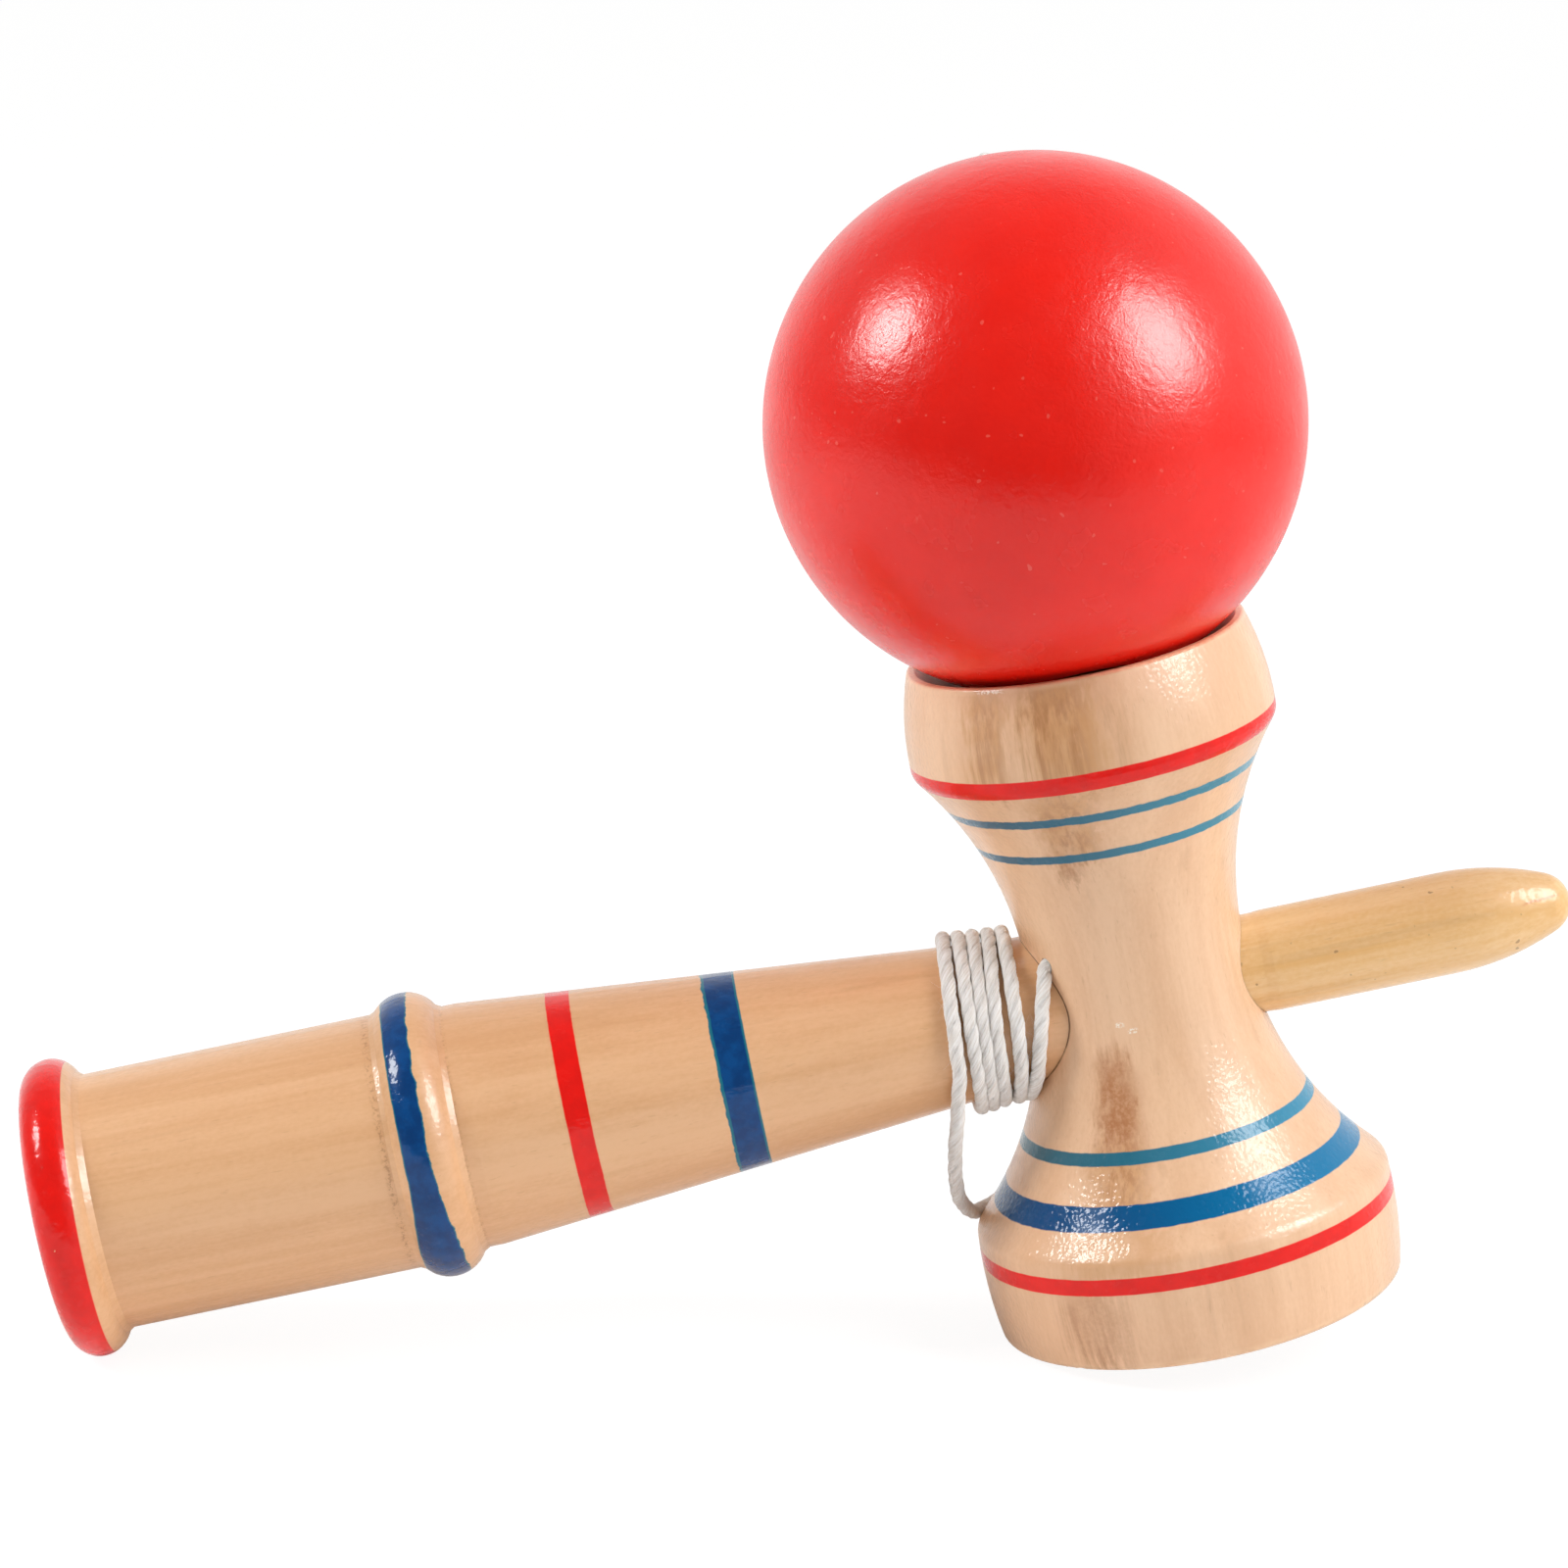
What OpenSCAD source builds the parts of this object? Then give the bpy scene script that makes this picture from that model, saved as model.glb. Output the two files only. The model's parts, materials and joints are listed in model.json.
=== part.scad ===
// Cup and ball toy, lying on its handle end and its lower cup with the ball in the upper cup.
// Every piece is drawn about the crossing of the handle's axis and the crosspiece's axis,
// with the spike towards +X and the upper cup towards +Z, and is then tipped into the lying pose.

/* [Handle] */
// Length from the crosspiece's axis to the end face
handle_len = 125.7; // [110:0.5:140]
// Radius of the straight grip
grip_r = 14.5; // [13:0.1:15.5]
// Radius of the rounded bead at the end
end_bead_r = 17; // [16:0.1:19]
// Half the width of the end bead
end_bead_half = 3.2; // [2.6:0.1:4]
// Distance of the raised ring from the crosspiece's axis
ring_pos = 82; // [70:0.5:95]
// Radius over the raised ring
ring_r = 16.25; // [15.8:0.05:17.5]
// Radius of the ring's rounded outline
ring_arc_r = 4.2; // [3.5:0.1:5]
// Radius of the land between the ring and the taper
taper_r = 13.8; // [12:0.1:14.4]
// Length of that land, from the ring's middle
taper_land = 6; // [5:0.5:10]
// Radius of the straight neck in the crosspiece
neck_r = 8.3; // [8:0.1:9.2]
// Distance from the crosspiece's axis at which the neck starts to widen
neck_end = 14.5; // [13.5:0.5:18]
// Size of the slope at the foot of the bead and the ring
bead_foot_r = 0.8; // [0.4:0.1:1.2]
// Mouth radius of the cup in the handle's end
base_cup_r = 13; // [11:0.1:13.4]
// Depth of the cup in the handle's end
base_cup_depth = 5.5; // [4.5:0.1:7]

/* [Crosspiece] */
// Height of the upper rim over the handle's axis
top_h = 40.7; // [36:0.1:46]
// Outer radius of the upper rim
top_rim_r = 19; // [18.7:0.1:20]
// Largest radius of the upper cup
top_belly_r = 20.7; // [20.3:0.1:22]
// Height of that largest radius over the handle's axis
top_belly_h = 30.5; // [28:0.5:33]
// Depth of the lower rim below the handle's axis
bottom_h = 37.3; // [34:0.5:42]
// Outer radius of the lower rim
bottom_rim_r = 22.9; // [22.2:0.1:23.4]
// Largest radius of the lower cup
bottom_belly_r = 23.75; // [23.5:0.05:25]
// Depth of that largest radius below the handle's axis
bottom_belly_h = 28.5; // [27:0.5:31]
// Mouth radius of the lower cup's hollow
bottom_cup_r = 19.8; // [18:0.1:20.4]
// Depth of the lower cup's hollow
bottom_cup_depth = 8.5; // [6.5:0.1:10]
// Radius of the waist
waist_r = 12.3; // [11.6:0.1:13]
// Height of the waist over the handle's axis
waist_h = 4; // [2:0.5:6]
// Length of the straight part of the waist
waist_len = 2; // [1:0.5:4]
// Radius of the hollow curves above and below the waist
flare_r = 39; // [34:0.5:44]
// Rounding of the cups' outer edges
belly_round = 1.8; // [1:0.1:2.5]
// Rounding of the outside of the upper rim
top_rim_round = 0.4; // [0.3:0.1:0.8]
// Rounding of the outside of the lower rim
bottom_rim_round = 0.8; // [0.4:0.1:1]
// Rounding of the inside of the rims and of the handle's cup
lip_round = 0.2; // [0.1:0.05:0.4]
// Distance of the socket's floor from the crosspiece's axis
socket_floor = 5; // [3:0.5:7]

/* [Spike] */
// Radius of the spike
spike_r = 5.75; // [5.7:0.05:6.2]
// Radius of its glued tail
spike_tail_r = 5.65; // [5:0.05:5.65]
// Length of the slope from the tail to the full radius
spike_slope = 1.2; // [0.8:0.1:2]
// Room between the crosspiece and that slope
spike_clear = 0.2; // [0.1:0.1:1]
// Length from the crosspiece's axis to the tip
spike_len = 49.2; // [44:0.2:54]
// Distance from the crosspiece's axis at which the spike starts to round off
spike_straight = 35; // [30:0.5:38]
// Radius of the curve towards the tip
spike_curve_r = 30.7; // [24:0.1:40]
// Length of the spike's tail on the handle's side of the crosspiece's axis
spike_tail = 20; // [15:0.5:25]
// Free room behind the tail in the handle
tail_room = 0.5; // [0.2:0.1:1]

/* [Ball] */
// Diameter of the ball
ball_d = 60; // [59:0.5:61]
// How much larger the upper cup's dish radius is than the ball's
cup_ease = 3; // [2:0.1:4]
// Gap between the ball and the dish where the ball lies
seat_gap = 0.15; // [0.1:0.05:0.3]
// Lean of the ball's resting place from the crosspiece's axis towards the spike
seat_lean = 6; // [-12:1:12]
// Diameter of the ball's bore for the spike
ball_bore_d = 14; // [13:0.5:15]
// Depth of that bore from the ball's surface
ball_bore_depth = 38; // [37:0.5:40]
// Widening of the bore's mouth
ball_bore_chamfer = 0.6; // [0.3:0.1:1]
// Diameter of the bead's pocket beyond the bore
bead_pocket_d = 10; // [9:0.5:12]
// Depth of the bead's pocket
bead_pocket_depth = 10; // [9.6:0.1:11]
// Rounding of the cord hole's mouth
cord_mouth_round = 2.5; // [2.2:0.1:3]
// Lean of the ball's bore towards the front at its mouth
ball_lean = 20; // [0:1:20]

/* [Bead] */
// Diameter of the bead on the cord's end
bead_d = 8.4; // [7:0.1:8.8]
// Length of the bead
bead_len = 6.4; // [5:0.1:6.8]
// Gap between the bead and its seat
bead_gap = 0.15; // [0.1:0.05:0.3]
// Radius of the knot under the bead
knot_r = 1.5; // [1.2:0.1:1.6]

/* [Cord] */
// Diameter of the cord
cord_d = 1.5; // [1.2:0.1:1.6]
// Room around the cord in its holes and over the wood
cord_gap = 0.15; // [0.1:0.05:0.25]
// Clear gap between neighbouring turns
turn_gap = 0.43; // [0.42:0.01:0.8]
// Whole turns round the neck after the first part turn
cord_turns = 5; // [3:1:6]
// Depth of the cord's glued hole in the crosspiece
cord_hole_depth = 6; // [4:0.5:7]
// Distance of the cord hole's mouth from the crosspiece's axis
cord_mouth_pos = 10.6; // [10.4:0.1:11]
// Place of the cord hole's mouth round the neck, from the top towards the front
cord_mouth_turn = 48; // [44:1:52]
// Distance from the crosspiece's axis where the cord first passes under the neck
first_pass_pos = 15.3; // [15.3:0.1:16.5]
// Place where the cord leaves the neck in its last turn, from the top towards the front
cord_leave_turn = 110; // [95:1:120]

/* [Joints] */
// Radial room in the glued wooden joints
glue_gap = 0.05; // [0.02:0.01:0.1]

/* [Hidden] */
$fn = 96;

// Small overlap for cuts
cut = 1;
ball_r = ball_d / 2;
cord_r = cord_d / 2;
cord_hole_r = cord_r + cord_gap;

// Plain vector helpers
function unit(v) = v / norm(v);
function arc_radius(half_chord, rise) = (half_chord * half_chord + rise * rise) / (2 * rise);
// Meeting point of two circles, left (1) or right (-1) of the line between their centres
function circles_meet(c1, r1, c2, r2, side) =
    let (d = norm(c2 - c1), a = (d * d + r1 * r1 - r2 * r2) / (2 * d))
    let (e = (c2 - c1) / d, h = sqrt(r1 * r1 - a * a))
    c1 + a * e + side * h * [-e[1], e[0]];
// Point to the right of a centre at a given distance and height
function beside(c, r, y) = [c[0] + sqrt(r * r - pow(y - c[1], 2)), y];

// End bead and ring of the handle, as radius and distance along the handle
end_bead_c = [end_bead_r - end_bead_half, handle_len - end_bead_half];
ring_c = [ring_r - ring_arc_r, ring_pos];
neck_start = socket_floor + glue_gap;

// Curves of the crosspiece, as radius and height
top_arc_r = arc_radius(top_h - top_belly_h, top_belly_r - top_rim_r);
top_arc_c = [top_belly_r - top_arc_r, top_belly_h];
bottom_arc_r = arc_radius(bottom_h - bottom_belly_h, bottom_belly_r - bottom_rim_r);
bottom_arc_c = [bottom_belly_r - bottom_arc_r, -bottom_belly_h];
flare_x = waist_r + flare_r;
top_flare_c = [flare_x, waist_h + waist_len / 2];
bottom_flare_c = [flare_x, waist_h - waist_len / 2];
bottom_edge_c = beside(bottom_arc_c, bottom_arc_r - bottom_rim_round, bottom_rim_round - bottom_h);

// Tilt at which the end bead and the lower rim both touch the floor
tilt_run = end_bead_c[1] - bottom_edge_c[0];
tilt_rise = bottom_edge_c[1] + end_bead_c[0];
tilt = asin((bottom_rim_round - end_bead_half) / norm([tilt_run, tilt_rise]))
    - atan2(tilt_rise, tilt_run);

// Ball's seat: the ball lies in the dish a little to the spike's side of the crosspiece's axis
dish_r = ball_r + cup_ease;
lip_h = top_h - lip_round;
lip_r = top_rim_r - top_rim_round - 2 * lip_round;
dish_h = lip_h + sqrt(pow(dish_r + lip_round, 2) - pow(lip_r, 2));
ball_drop = cup_ease - seat_gap;
ball_c = [ball_drop * sin(seat_lean), 0, dish_h - ball_drop * cos(seat_lean)];

// Spherical hollows, as their radius and the height of their centre from the mouth
bottom_cup_ball = arc_radius(bottom_cup_r, bottom_cup_depth);
bottom_cup_c = [0, bottom_cup_depth - bottom_h - bottom_cup_ball];
base_cup_ball = arc_radius(base_cup_r, base_cup_depth);
base_cup_c = [0, handle_len - base_cup_depth + base_cup_ball];
base_lip_c = beside(base_cup_c, base_cup_ball + lip_round, handle_len - lip_round);

// Spike: it has its full radius beyond the lower flare. Its nose is a small ball that meets
// the long curve and ends at the tip
tail_end = flare_x - sqrt(pow(flare_r, 2) - pow(bottom_flare_c[1] + spike_r, 2)) + spike_clear;
shank_start = tail_end + spike_slope;
curve_c = [spike_r - spike_curve_r, spike_straight];
tip_run = spike_len - spike_straight;
nose_r = (pow(spike_curve_r, 2) - pow(tip_run, 2) - pow(curve_c[0], 2)) / (2 * (spike_curve_r - tip_run));
nose_c = [0, spike_len - nose_r];
nose_start = spike_straight + (nose_c[1] - spike_straight) * spike_curve_r / (spike_curve_r - nose_r);

// Lying pose: the middle of the length over the origin and the lowest points on the floor
rest_min_x = -end_bead_c[1] * cos(tilt) - end_bead_c[0] * sin(tilt) - end_bead_half;
rest_max_x = nose_c[1] * cos(tilt) + nose_r;
rest_shift = [-(rest_min_x + rest_max_x) / 2, 0,
    end_bead_c[1] * sin(tilt) + end_bead_c[0] * cos(tilt) + end_bead_half];
function lying(p) = rest_shift
    + [p[0] * cos(tilt) - p[2] * sin(tilt), p[1], p[0] * sin(tilt) + p[2] * cos(tilt)];

// Inside of the ball, along its bore from the ball's centre
bore_top = ball_bore_depth - ball_r;
pocket_top = bore_top + bead_pocket_depth;
bead_top = pocket_top - bead_gap;
bead_bottom = bead_top - bead_len;
mouth_ring_r = cord_hole_r + cord_mouth_round;
mouth_ring_h = sqrt(pow(ball_r - cord_mouth_round, 2) - pow(mouth_ring_r, 2));

// Winding: distance along the handle and distance from its axis at a turn angle
cord_pitch = cord_d + turn_gap;
neck_slope = (taper_r - neck_r) / (ring_pos - taper_land - neck_end);
first_pass_turn = 180;
last_turn = 360 * cord_turns + cord_leave_turn;
turn_step = 15;
function even_pos(a) = first_pass_pos + cord_pitch * (a - first_pass_turn) / 360;
function lag(a) = pow(max(first_pass_turn - a, 0) / (first_pass_turn - cord_mouth_turn), 2);
mouth_lag = even_pos(cord_mouth_turn) - cord_mouth_pos;
function turn_pos(a) = even_pos(a) - mouth_lag * lag(a);
function cord_reach(u) = neck_r + neck_slope * max(u - neck_end, 0) + cord_gap + cord_r;
function on_neck(a) = let (u = turn_pos(a), r = cord_reach(u)) [-u, -r * sin(a), r * cos(a)];
function round_neck(a) = [0, -cos(a), -sin(a)];
// The glued hole runs half along the handle and half round it
cord_mouth = on_neck(cord_mouth_turn);
cord_hole_way = unit(round_neck(cord_mouth_turn) + [-1, 0, 0]);
cord_tail = [for (s = [cord_hole_depth : -2 : 0]) cord_mouth - s * cord_hole_way];
first_step = cord_mouth_turn + turn_step / 2;
winding_turns = concat([for (a = [first_step : turn_step : last_turn - turn_step / 2]) a], [last_turn]);
cord_leave = on_neck(last_turn);
cord_leave_run = 2 * PI * cord_reach(turn_pos(last_turn));
cord_leave_way = unit(round_neck(last_turn) + [-cord_pitch / cord_leave_run, 0, 0]);
winding_route = concat(cord_tail, [for (a = winding_turns) on_neck(a)],
    [cord_leave + cord_d * cord_leave_way]);

// Free stretch, as it lies: hand-picked points from the winding, round behind the lower cup
// and up to the ball's back
free_points = [
    [17.5, -7.5, 27],
    [17.5, -5, 22.5],
    [18, -1.5, 18],
    [19, 2, 15],
    [20.5, 5.5, 13],
    [21.5, 9.5, 12],
    [23.5, 14, 11.5],
    [26.5, 18.5, 12.5],
    [29.5, 22.5, 16],
    [32, 25, 21],
    [34, 27, 28],
    [35.5, 28.5, 36],
    [36.5, 29.5, 45],
    [37, 30, 54],
    [37, 30.5, 63],
    [36.5, 30.5, 72],
    [36, 30.5, 81],
    [35, 30, 90]
];
// Side of the ball's back at which the cord comes down, from straight behind towards the spike
hang_side = 16;
ball_mid = lying(ball_c);
ball_up = lying([0, sin(ball_lean), cos(ball_lean)]) - rest_shift;
hang_way = [sin(hang_side), cos(hang_side), 0];
over_way = unit(hang_way - (hang_way * ball_up) * ball_up);
over_end = acos(hang_way * ball_up);
over_start = atan2(mouth_ring_r, mouth_ring_h);
over_r = ball_r + cord_gap + cord_r;
function on_ball(a) = ball_mid + over_r * (cos(a) * ball_up + sin(a) * over_way);
over_ball = [for (k = [8 : -1 : 1]) on_ball(over_start + (over_end - over_start) * k / 8)];
mouth_mid = ball_mid + mouth_ring_h * ball_up + mouth_ring_r * over_way;
into_hole = [for (k = [6 : -1 : 0])
    let (a = (90 + over_start) * k / 6)
    mouth_mid + mouth_ring_r * (sin(a) * ball_up - cos(a) * over_way)];
hole_point = ball_mid + (mouth_ring_h - cord_d) * ball_up;
// The hand-picked points are joined by a smooth curve with two rings for each
free_start = lying(cord_leave + cord_d * cord_leave_way);
free_start_way = lying(cord_leave_way) - rest_shift;
free_second = free_start + cord_r * free_start_way;
function smooth(a, b, c, d, t) = 0.5 * (2 * b + (c - a) * t + (2 * a - 5 * b + 4 * c - d) * t * t
    + (3 * b - a - 3 * c + d) * t * t * t);
free_knots = concat([free_start - 3 * cord_d * free_start_way, free_second], free_points,
    [over_ball[0], over_ball[1]]);
free_curve = [for (i = [1 : len(free_knots) - 3], t = [0, 0.5])
    smooth(free_knots[i - 1], free_knots[i], free_knots[i + 1], free_knots[i + 2], t)];
free_route = concat([free_start], free_curve, over_ball, into_hole, [hole_point]);
function route_length(p) = len(p) < 2 ? 0 : [for (i = 1, s = norm(p[1] - p[0]); i < len(p);
    i = i + 1, s = s + (i < len(p) ? norm(p[i] - p[i - 1]) : 0)) s][len(p) - 2];
echo(free_length = route_length(free_route), winding_length = route_length(winding_route));

// Tube swept along a route, with a ring of sides at each point
function heading(p, i) = unit(p[min(i + 1, len(p) - 1)] - p[max(i - 1, 0)]);
function square_to(v) = unit(abs(v[2]) < 0.9 ? cross(v, [0, 0, 1]) : cross(v, [1, 0, 0]));
function turned(n, t) = unit(n - (n * t) * t);
function normals(p) = [for (i = 0, n = square_to(heading(p, 0)); i < len(p);
    i = i + 1, n = turned(n, heading(p, min(i, len(p) - 1)))) n];
function ring_points(c, n, t, r, sides) =
    [for (k = [0 : sides - 1]) c + r * (cos(360 * k / sides) * n + sin(360 * k / sides) * cross(t, n))];
function side_faces(i, k, sides) =
    let (a = i * sides + k, b = i * sides + (k + 1) % sides)
    [[a, a + sides, b], [b, a + sides, b + sides]];
module tube(route, d, sides) {
    n = normals(route);
    rings = [for (i = [0 : len(route) - 1])
        each ring_points(route[i], n[i], heading(route, i), d / 2, sides)];
    last = (len(route) - 1) * sides;
    walls = [for (i = [0 : len(route) - 2], k = [0 : sides - 1]) each side_faces(i, k, sides)];
    caps = [for (k = [1 : sides - 2]) each [[0, k, k + 1], [last, last + k + 1, last + k]]];
    polyhedron(rings, concat(walls, caps));
}

// Least clear distance of a tube to itself, over points at least half a turn apart
half_turn = 180 / turn_step;
winding_gap = min([for (i = [0 : len(winding_route) - 1], j = [i + half_turn : 1 : len(winding_route) - 1])
    norm(winding_route[i] - winding_route[j])]) - cord_d;
echo(winding_gap = winding_gap);

// Turns a piece drawn along +Z to lie along the handle or along the spike
module along_handle() {
    rotate([0, -90, 0]) children();
}
module along_spike() {
    rotate([0, 90, 0]) children();
}
// Tips a piece into the lying pose
module lying_pose() {
    translate(rest_shift) rotate([0, -tilt, 0]) children();
}
// Puts a piece drawn about the ball's centre into the ball, with its bore leaned
module in_ball() {
    translate(ball_c) rotate([-ball_lean, 0, 0]) children();
}

// Corner that a rounding takes away, between two outward directions from its centre
module edge_cut(c, r, way_1, way_2) {
    difference() {
        polygon([c, c + 2 * r * way_1, c + 3 * r * unit(way_1 + way_2), c + 2 * r * way_2]);
        translate(c) circle(r);
    }
}
// Slope that fills the corner between a straight turned part and a bead on one side
module bead_foot(bead_c, bead_arc_r, straight_r, side) {
    rise = straight_r + bead_foot_r - bead_c[0];
    c = [straight_r + bead_foot_r,
        bead_c[1] + side * sqrt(pow(bead_arc_r + bead_foot_r, 2) - rise * rise)];
    touch = c + bead_foot_r * unit(bead_c - c);
    low = side < 0 ? [straight_r, c[1]] : touch;
    high = side < 0 ? touch : [straight_r, c[1]];
    translate([0, 0, low[1]]) cylinder(h = high[1] - low[1], r1 = low[0], r2 = high[0]);
}

// Half outline of the handle, as radius and distance along it
module handle_outline() {
    difference() {
        union() {
            polygon([[0, neck_start], [neck_r, neck_start], [neck_r, neck_end],
                [taper_r, ring_pos - taper_land], [taper_r, ring_pos], [grip_r, ring_pos],
                [grip_r, end_bead_c[1]], [end_bead_c[0], end_bead_c[1]],
                [end_bead_c[0], handle_len], [0, handle_len]]);
            translate(end_bead_c) circle(end_bead_half);
            intersection() {
                translate(ring_c) circle(ring_arc_r);
                translate([0, ring_pos - ring_arc_r]) square(2 * ring_r);
            }
        }
        translate(base_cup_c) circle(base_cup_ball);
        edge_cut(base_lip_c, lip_round, [0, 1], unit(base_cup_c - base_lip_c));
    }
}
module handle() {
    color("burlywood") lying_pose() along_handle() difference() {
        union() {
            rotate_extrude() handle_outline_half();
            bead_foot(end_bead_c, end_bead_half, grip_r, -1);
            bead_foot(ring_c, ring_arc_r, grip_r, 1);
            bead_foot(ring_c, ring_arc_r, taper_r, -1);
        }
        cylinder(h = spike_tail + tail_room, r = spike_tail_r + glue_gap);
    }
}
module handle_outline_half() {
    intersection() {
        handle_outline();
        square([2 * end_bead_r, 2 * handle_len]);
    }
}

// Half outline of the crosspiece, as radius and height
module crosspiece_outline() {
    tall = 2 * top_h;
    top_corner = circles_meet(top_flare_c, flare_r, top_arc_c, top_arc_r, -1);
    bottom_corner = circles_meet(bottom_flare_c, flare_r, bottom_arc_c, bottom_arc_r, 1);
    top_fillet_c = circles_meet(top_flare_c, flare_r + belly_round, top_arc_c, top_arc_r - belly_round, -1);
    bottom_fillet_c = circles_meet(bottom_flare_c, flare_r + belly_round,
        bottom_arc_c, bottom_arc_r - belly_round, 1);
    top_edge_c = beside(top_arc_c, top_arc_r - top_rim_round, top_h - top_rim_round);
    top_lip_c = [lip_r, lip_h];
    bottom_lip_c = beside(bottom_cup_c, bottom_cup_ball + lip_round, lip_round - bottom_h);
    difference() {
        union() {
            intersection() {
                translate(top_arc_c) circle(top_arc_r);
                translate([0, waist_h]) square([tall, top_h - waist_h]);
            }
            intersection() {
                translate(bottom_arc_c) circle(bottom_arc_r);
                translate([0, -bottom_h]) square([tall, bottom_h + waist_h]);
            }
            polygon([[0, bottom_corner[1]], bottom_corner, [waist_r, waist_h], top_corner,
                [0, top_corner[1]]]);
        }
        translate(top_flare_c) circle(flare_r);
        translate(bottom_flare_c) circle(flare_r);
        translate([waist_r, waist_h - waist_len / 2]) square([tall, waist_len]);
        translate([0, dish_h]) circle(dish_r);
        translate(bottom_cup_c) circle(bottom_cup_ball);
        edge_cut(top_fillet_c, belly_round,
            unit(top_flare_c - top_fillet_c), unit(top_fillet_c - top_arc_c));
        edge_cut(bottom_fillet_c, belly_round,
            unit(bottom_flare_c - bottom_fillet_c), unit(bottom_fillet_c - bottom_arc_c));
        edge_cut(top_edge_c, top_rim_round, unit(top_edge_c - top_arc_c), [0, 1]);
        edge_cut(bottom_edge_c, bottom_rim_round, unit(bottom_edge_c - bottom_arc_c), [0, -1]);
        edge_cut(top_lip_c, lip_round, [0, 1], unit([0, dish_h] - top_lip_c));
        edge_cut(bottom_lip_c, lip_round, [0, -1], unit(bottom_cup_c - bottom_lip_c));
    }
}
module crosspiece() {
    reach = 2 * bottom_belly_r;
    color("wheat") lying_pose() difference() {
        rotate_extrude() crosspiece_outline();
        along_handle() translate([0, 0, socket_floor]) cylinder(h = reach, r = neck_r + glue_gap);
        along_handle() translate([0, 0, -reach]) cylinder(h = 2 * reach, r = spike_tail_r + glue_gap);
        cord_hole();
    }
}
// Slanting hole beside the socket, into which the cord's end is glued
module cord_hole() {
    floor_point = cord_mouth - (cord_hole_depth + cord_gap) * cord_hole_way;
    lean = acos(cord_hole_way[2]);
    swing = atan2(cord_hole_way[1], cord_hole_way[0]);
    translate(floor_point) rotate([0, lean, swing])
        cylinder(h = cord_hole_depth + cord_d, r = cord_hole_r);
}

// Half outline of the spike, as radius and distance towards its tip
module spike_outline() {
    polygon([[0, -spike_tail], [spike_tail_r, -spike_tail], [spike_tail_r, tail_end],
        [spike_r, shank_start], [spike_r, spike_straight], [0, spike_straight]]);
    intersection() {
        translate(curve_c) circle(spike_curve_r);
        square([spike_r, nose_start]);
    }
    intersection() {
        translate(nose_c) circle(nose_r);
        translate([0, nose_c[1]]) square([spike_r, nose_r]);
    }
}
module spike() {
    color("khaki") lying_pose() along_spike() rotate_extrude() spike_outline();
}

// Half outline of the ball about its centre, with the bore's mouth downwards
module ball_outline() {
    bore_r = ball_bore_d / 2;
    mouth_h = -sqrt(ball_r * ball_r - bore_r * bore_r);
    wide = bore_r + 2 * ball_bore_chamfer;
    mouth_ring_c = [mouth_ring_r, mouth_ring_h];
    difference() {
        intersection() {
            circle(ball_r);
            translate([0, -ball_r]) square([ball_r, ball_d]);
        }
        translate([0, -ball_d]) square([bore_r, ball_d + bore_top]);
        translate([0, -ball_d]) square([bead_pocket_d / 2, ball_d + pocket_top]);
        square([cord_hole_r, ball_d]);
        polygon([[0, mouth_h - ball_bore_chamfer], [wide, mouth_h - ball_bore_chamfer],
            [bore_r, mouth_h + ball_bore_chamfer], [0, mouth_h + ball_bore_chamfer]]);
        edge_cut(mouth_ring_c, cord_mouth_round, [-1, 0], unit(mouth_ring_c));
    }
}
module ball() {
    color("red") lying_pose() in_ball() rotate_extrude() ball_outline();
}

// Wooden bead that stops the cord in the ball
module bead() {
    color("peru") lying_pose() in_ball() translate([0, 0, bead_bottom]) rotate_extrude() difference() {
        intersection() {
            translate([0, bead_len / 2]) circle(bead_d / 2);
            square([bead_d, bead_len]);
        }
        translate([0, -cut]) square([cord_hole_r, bead_len + 2 * cut]);
    }
}

// Cord's end inside the ball, with its knot under the bead
module cord_knot() {
    knot_h = bead_bottom - cord_gap - knot_r;
    color("white") lying_pose() in_ball() {
        translate([0, 0, knot_h]) cylinder(h = mouth_ring_h - cord_d - knot_h, r = cord_r);
        translate([0, 0, knot_h]) sphere(knot_r);
    }
}

// Cord from its glued end through its turns round the neck
module cord_winding() {
    color("white") lying_pose() tube(winding_route, cord_d, 6);
}

// Cord from the last turn, behind the lower cup and up to the ball's top
module cord_free() {
    color("white") tube(free_route, cord_d, 8);
}

handle();
crosspiece();
spike();
ball();
bead();
cord_knot();
cord_winding();
cord_free();
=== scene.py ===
import json
import math
import random

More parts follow.
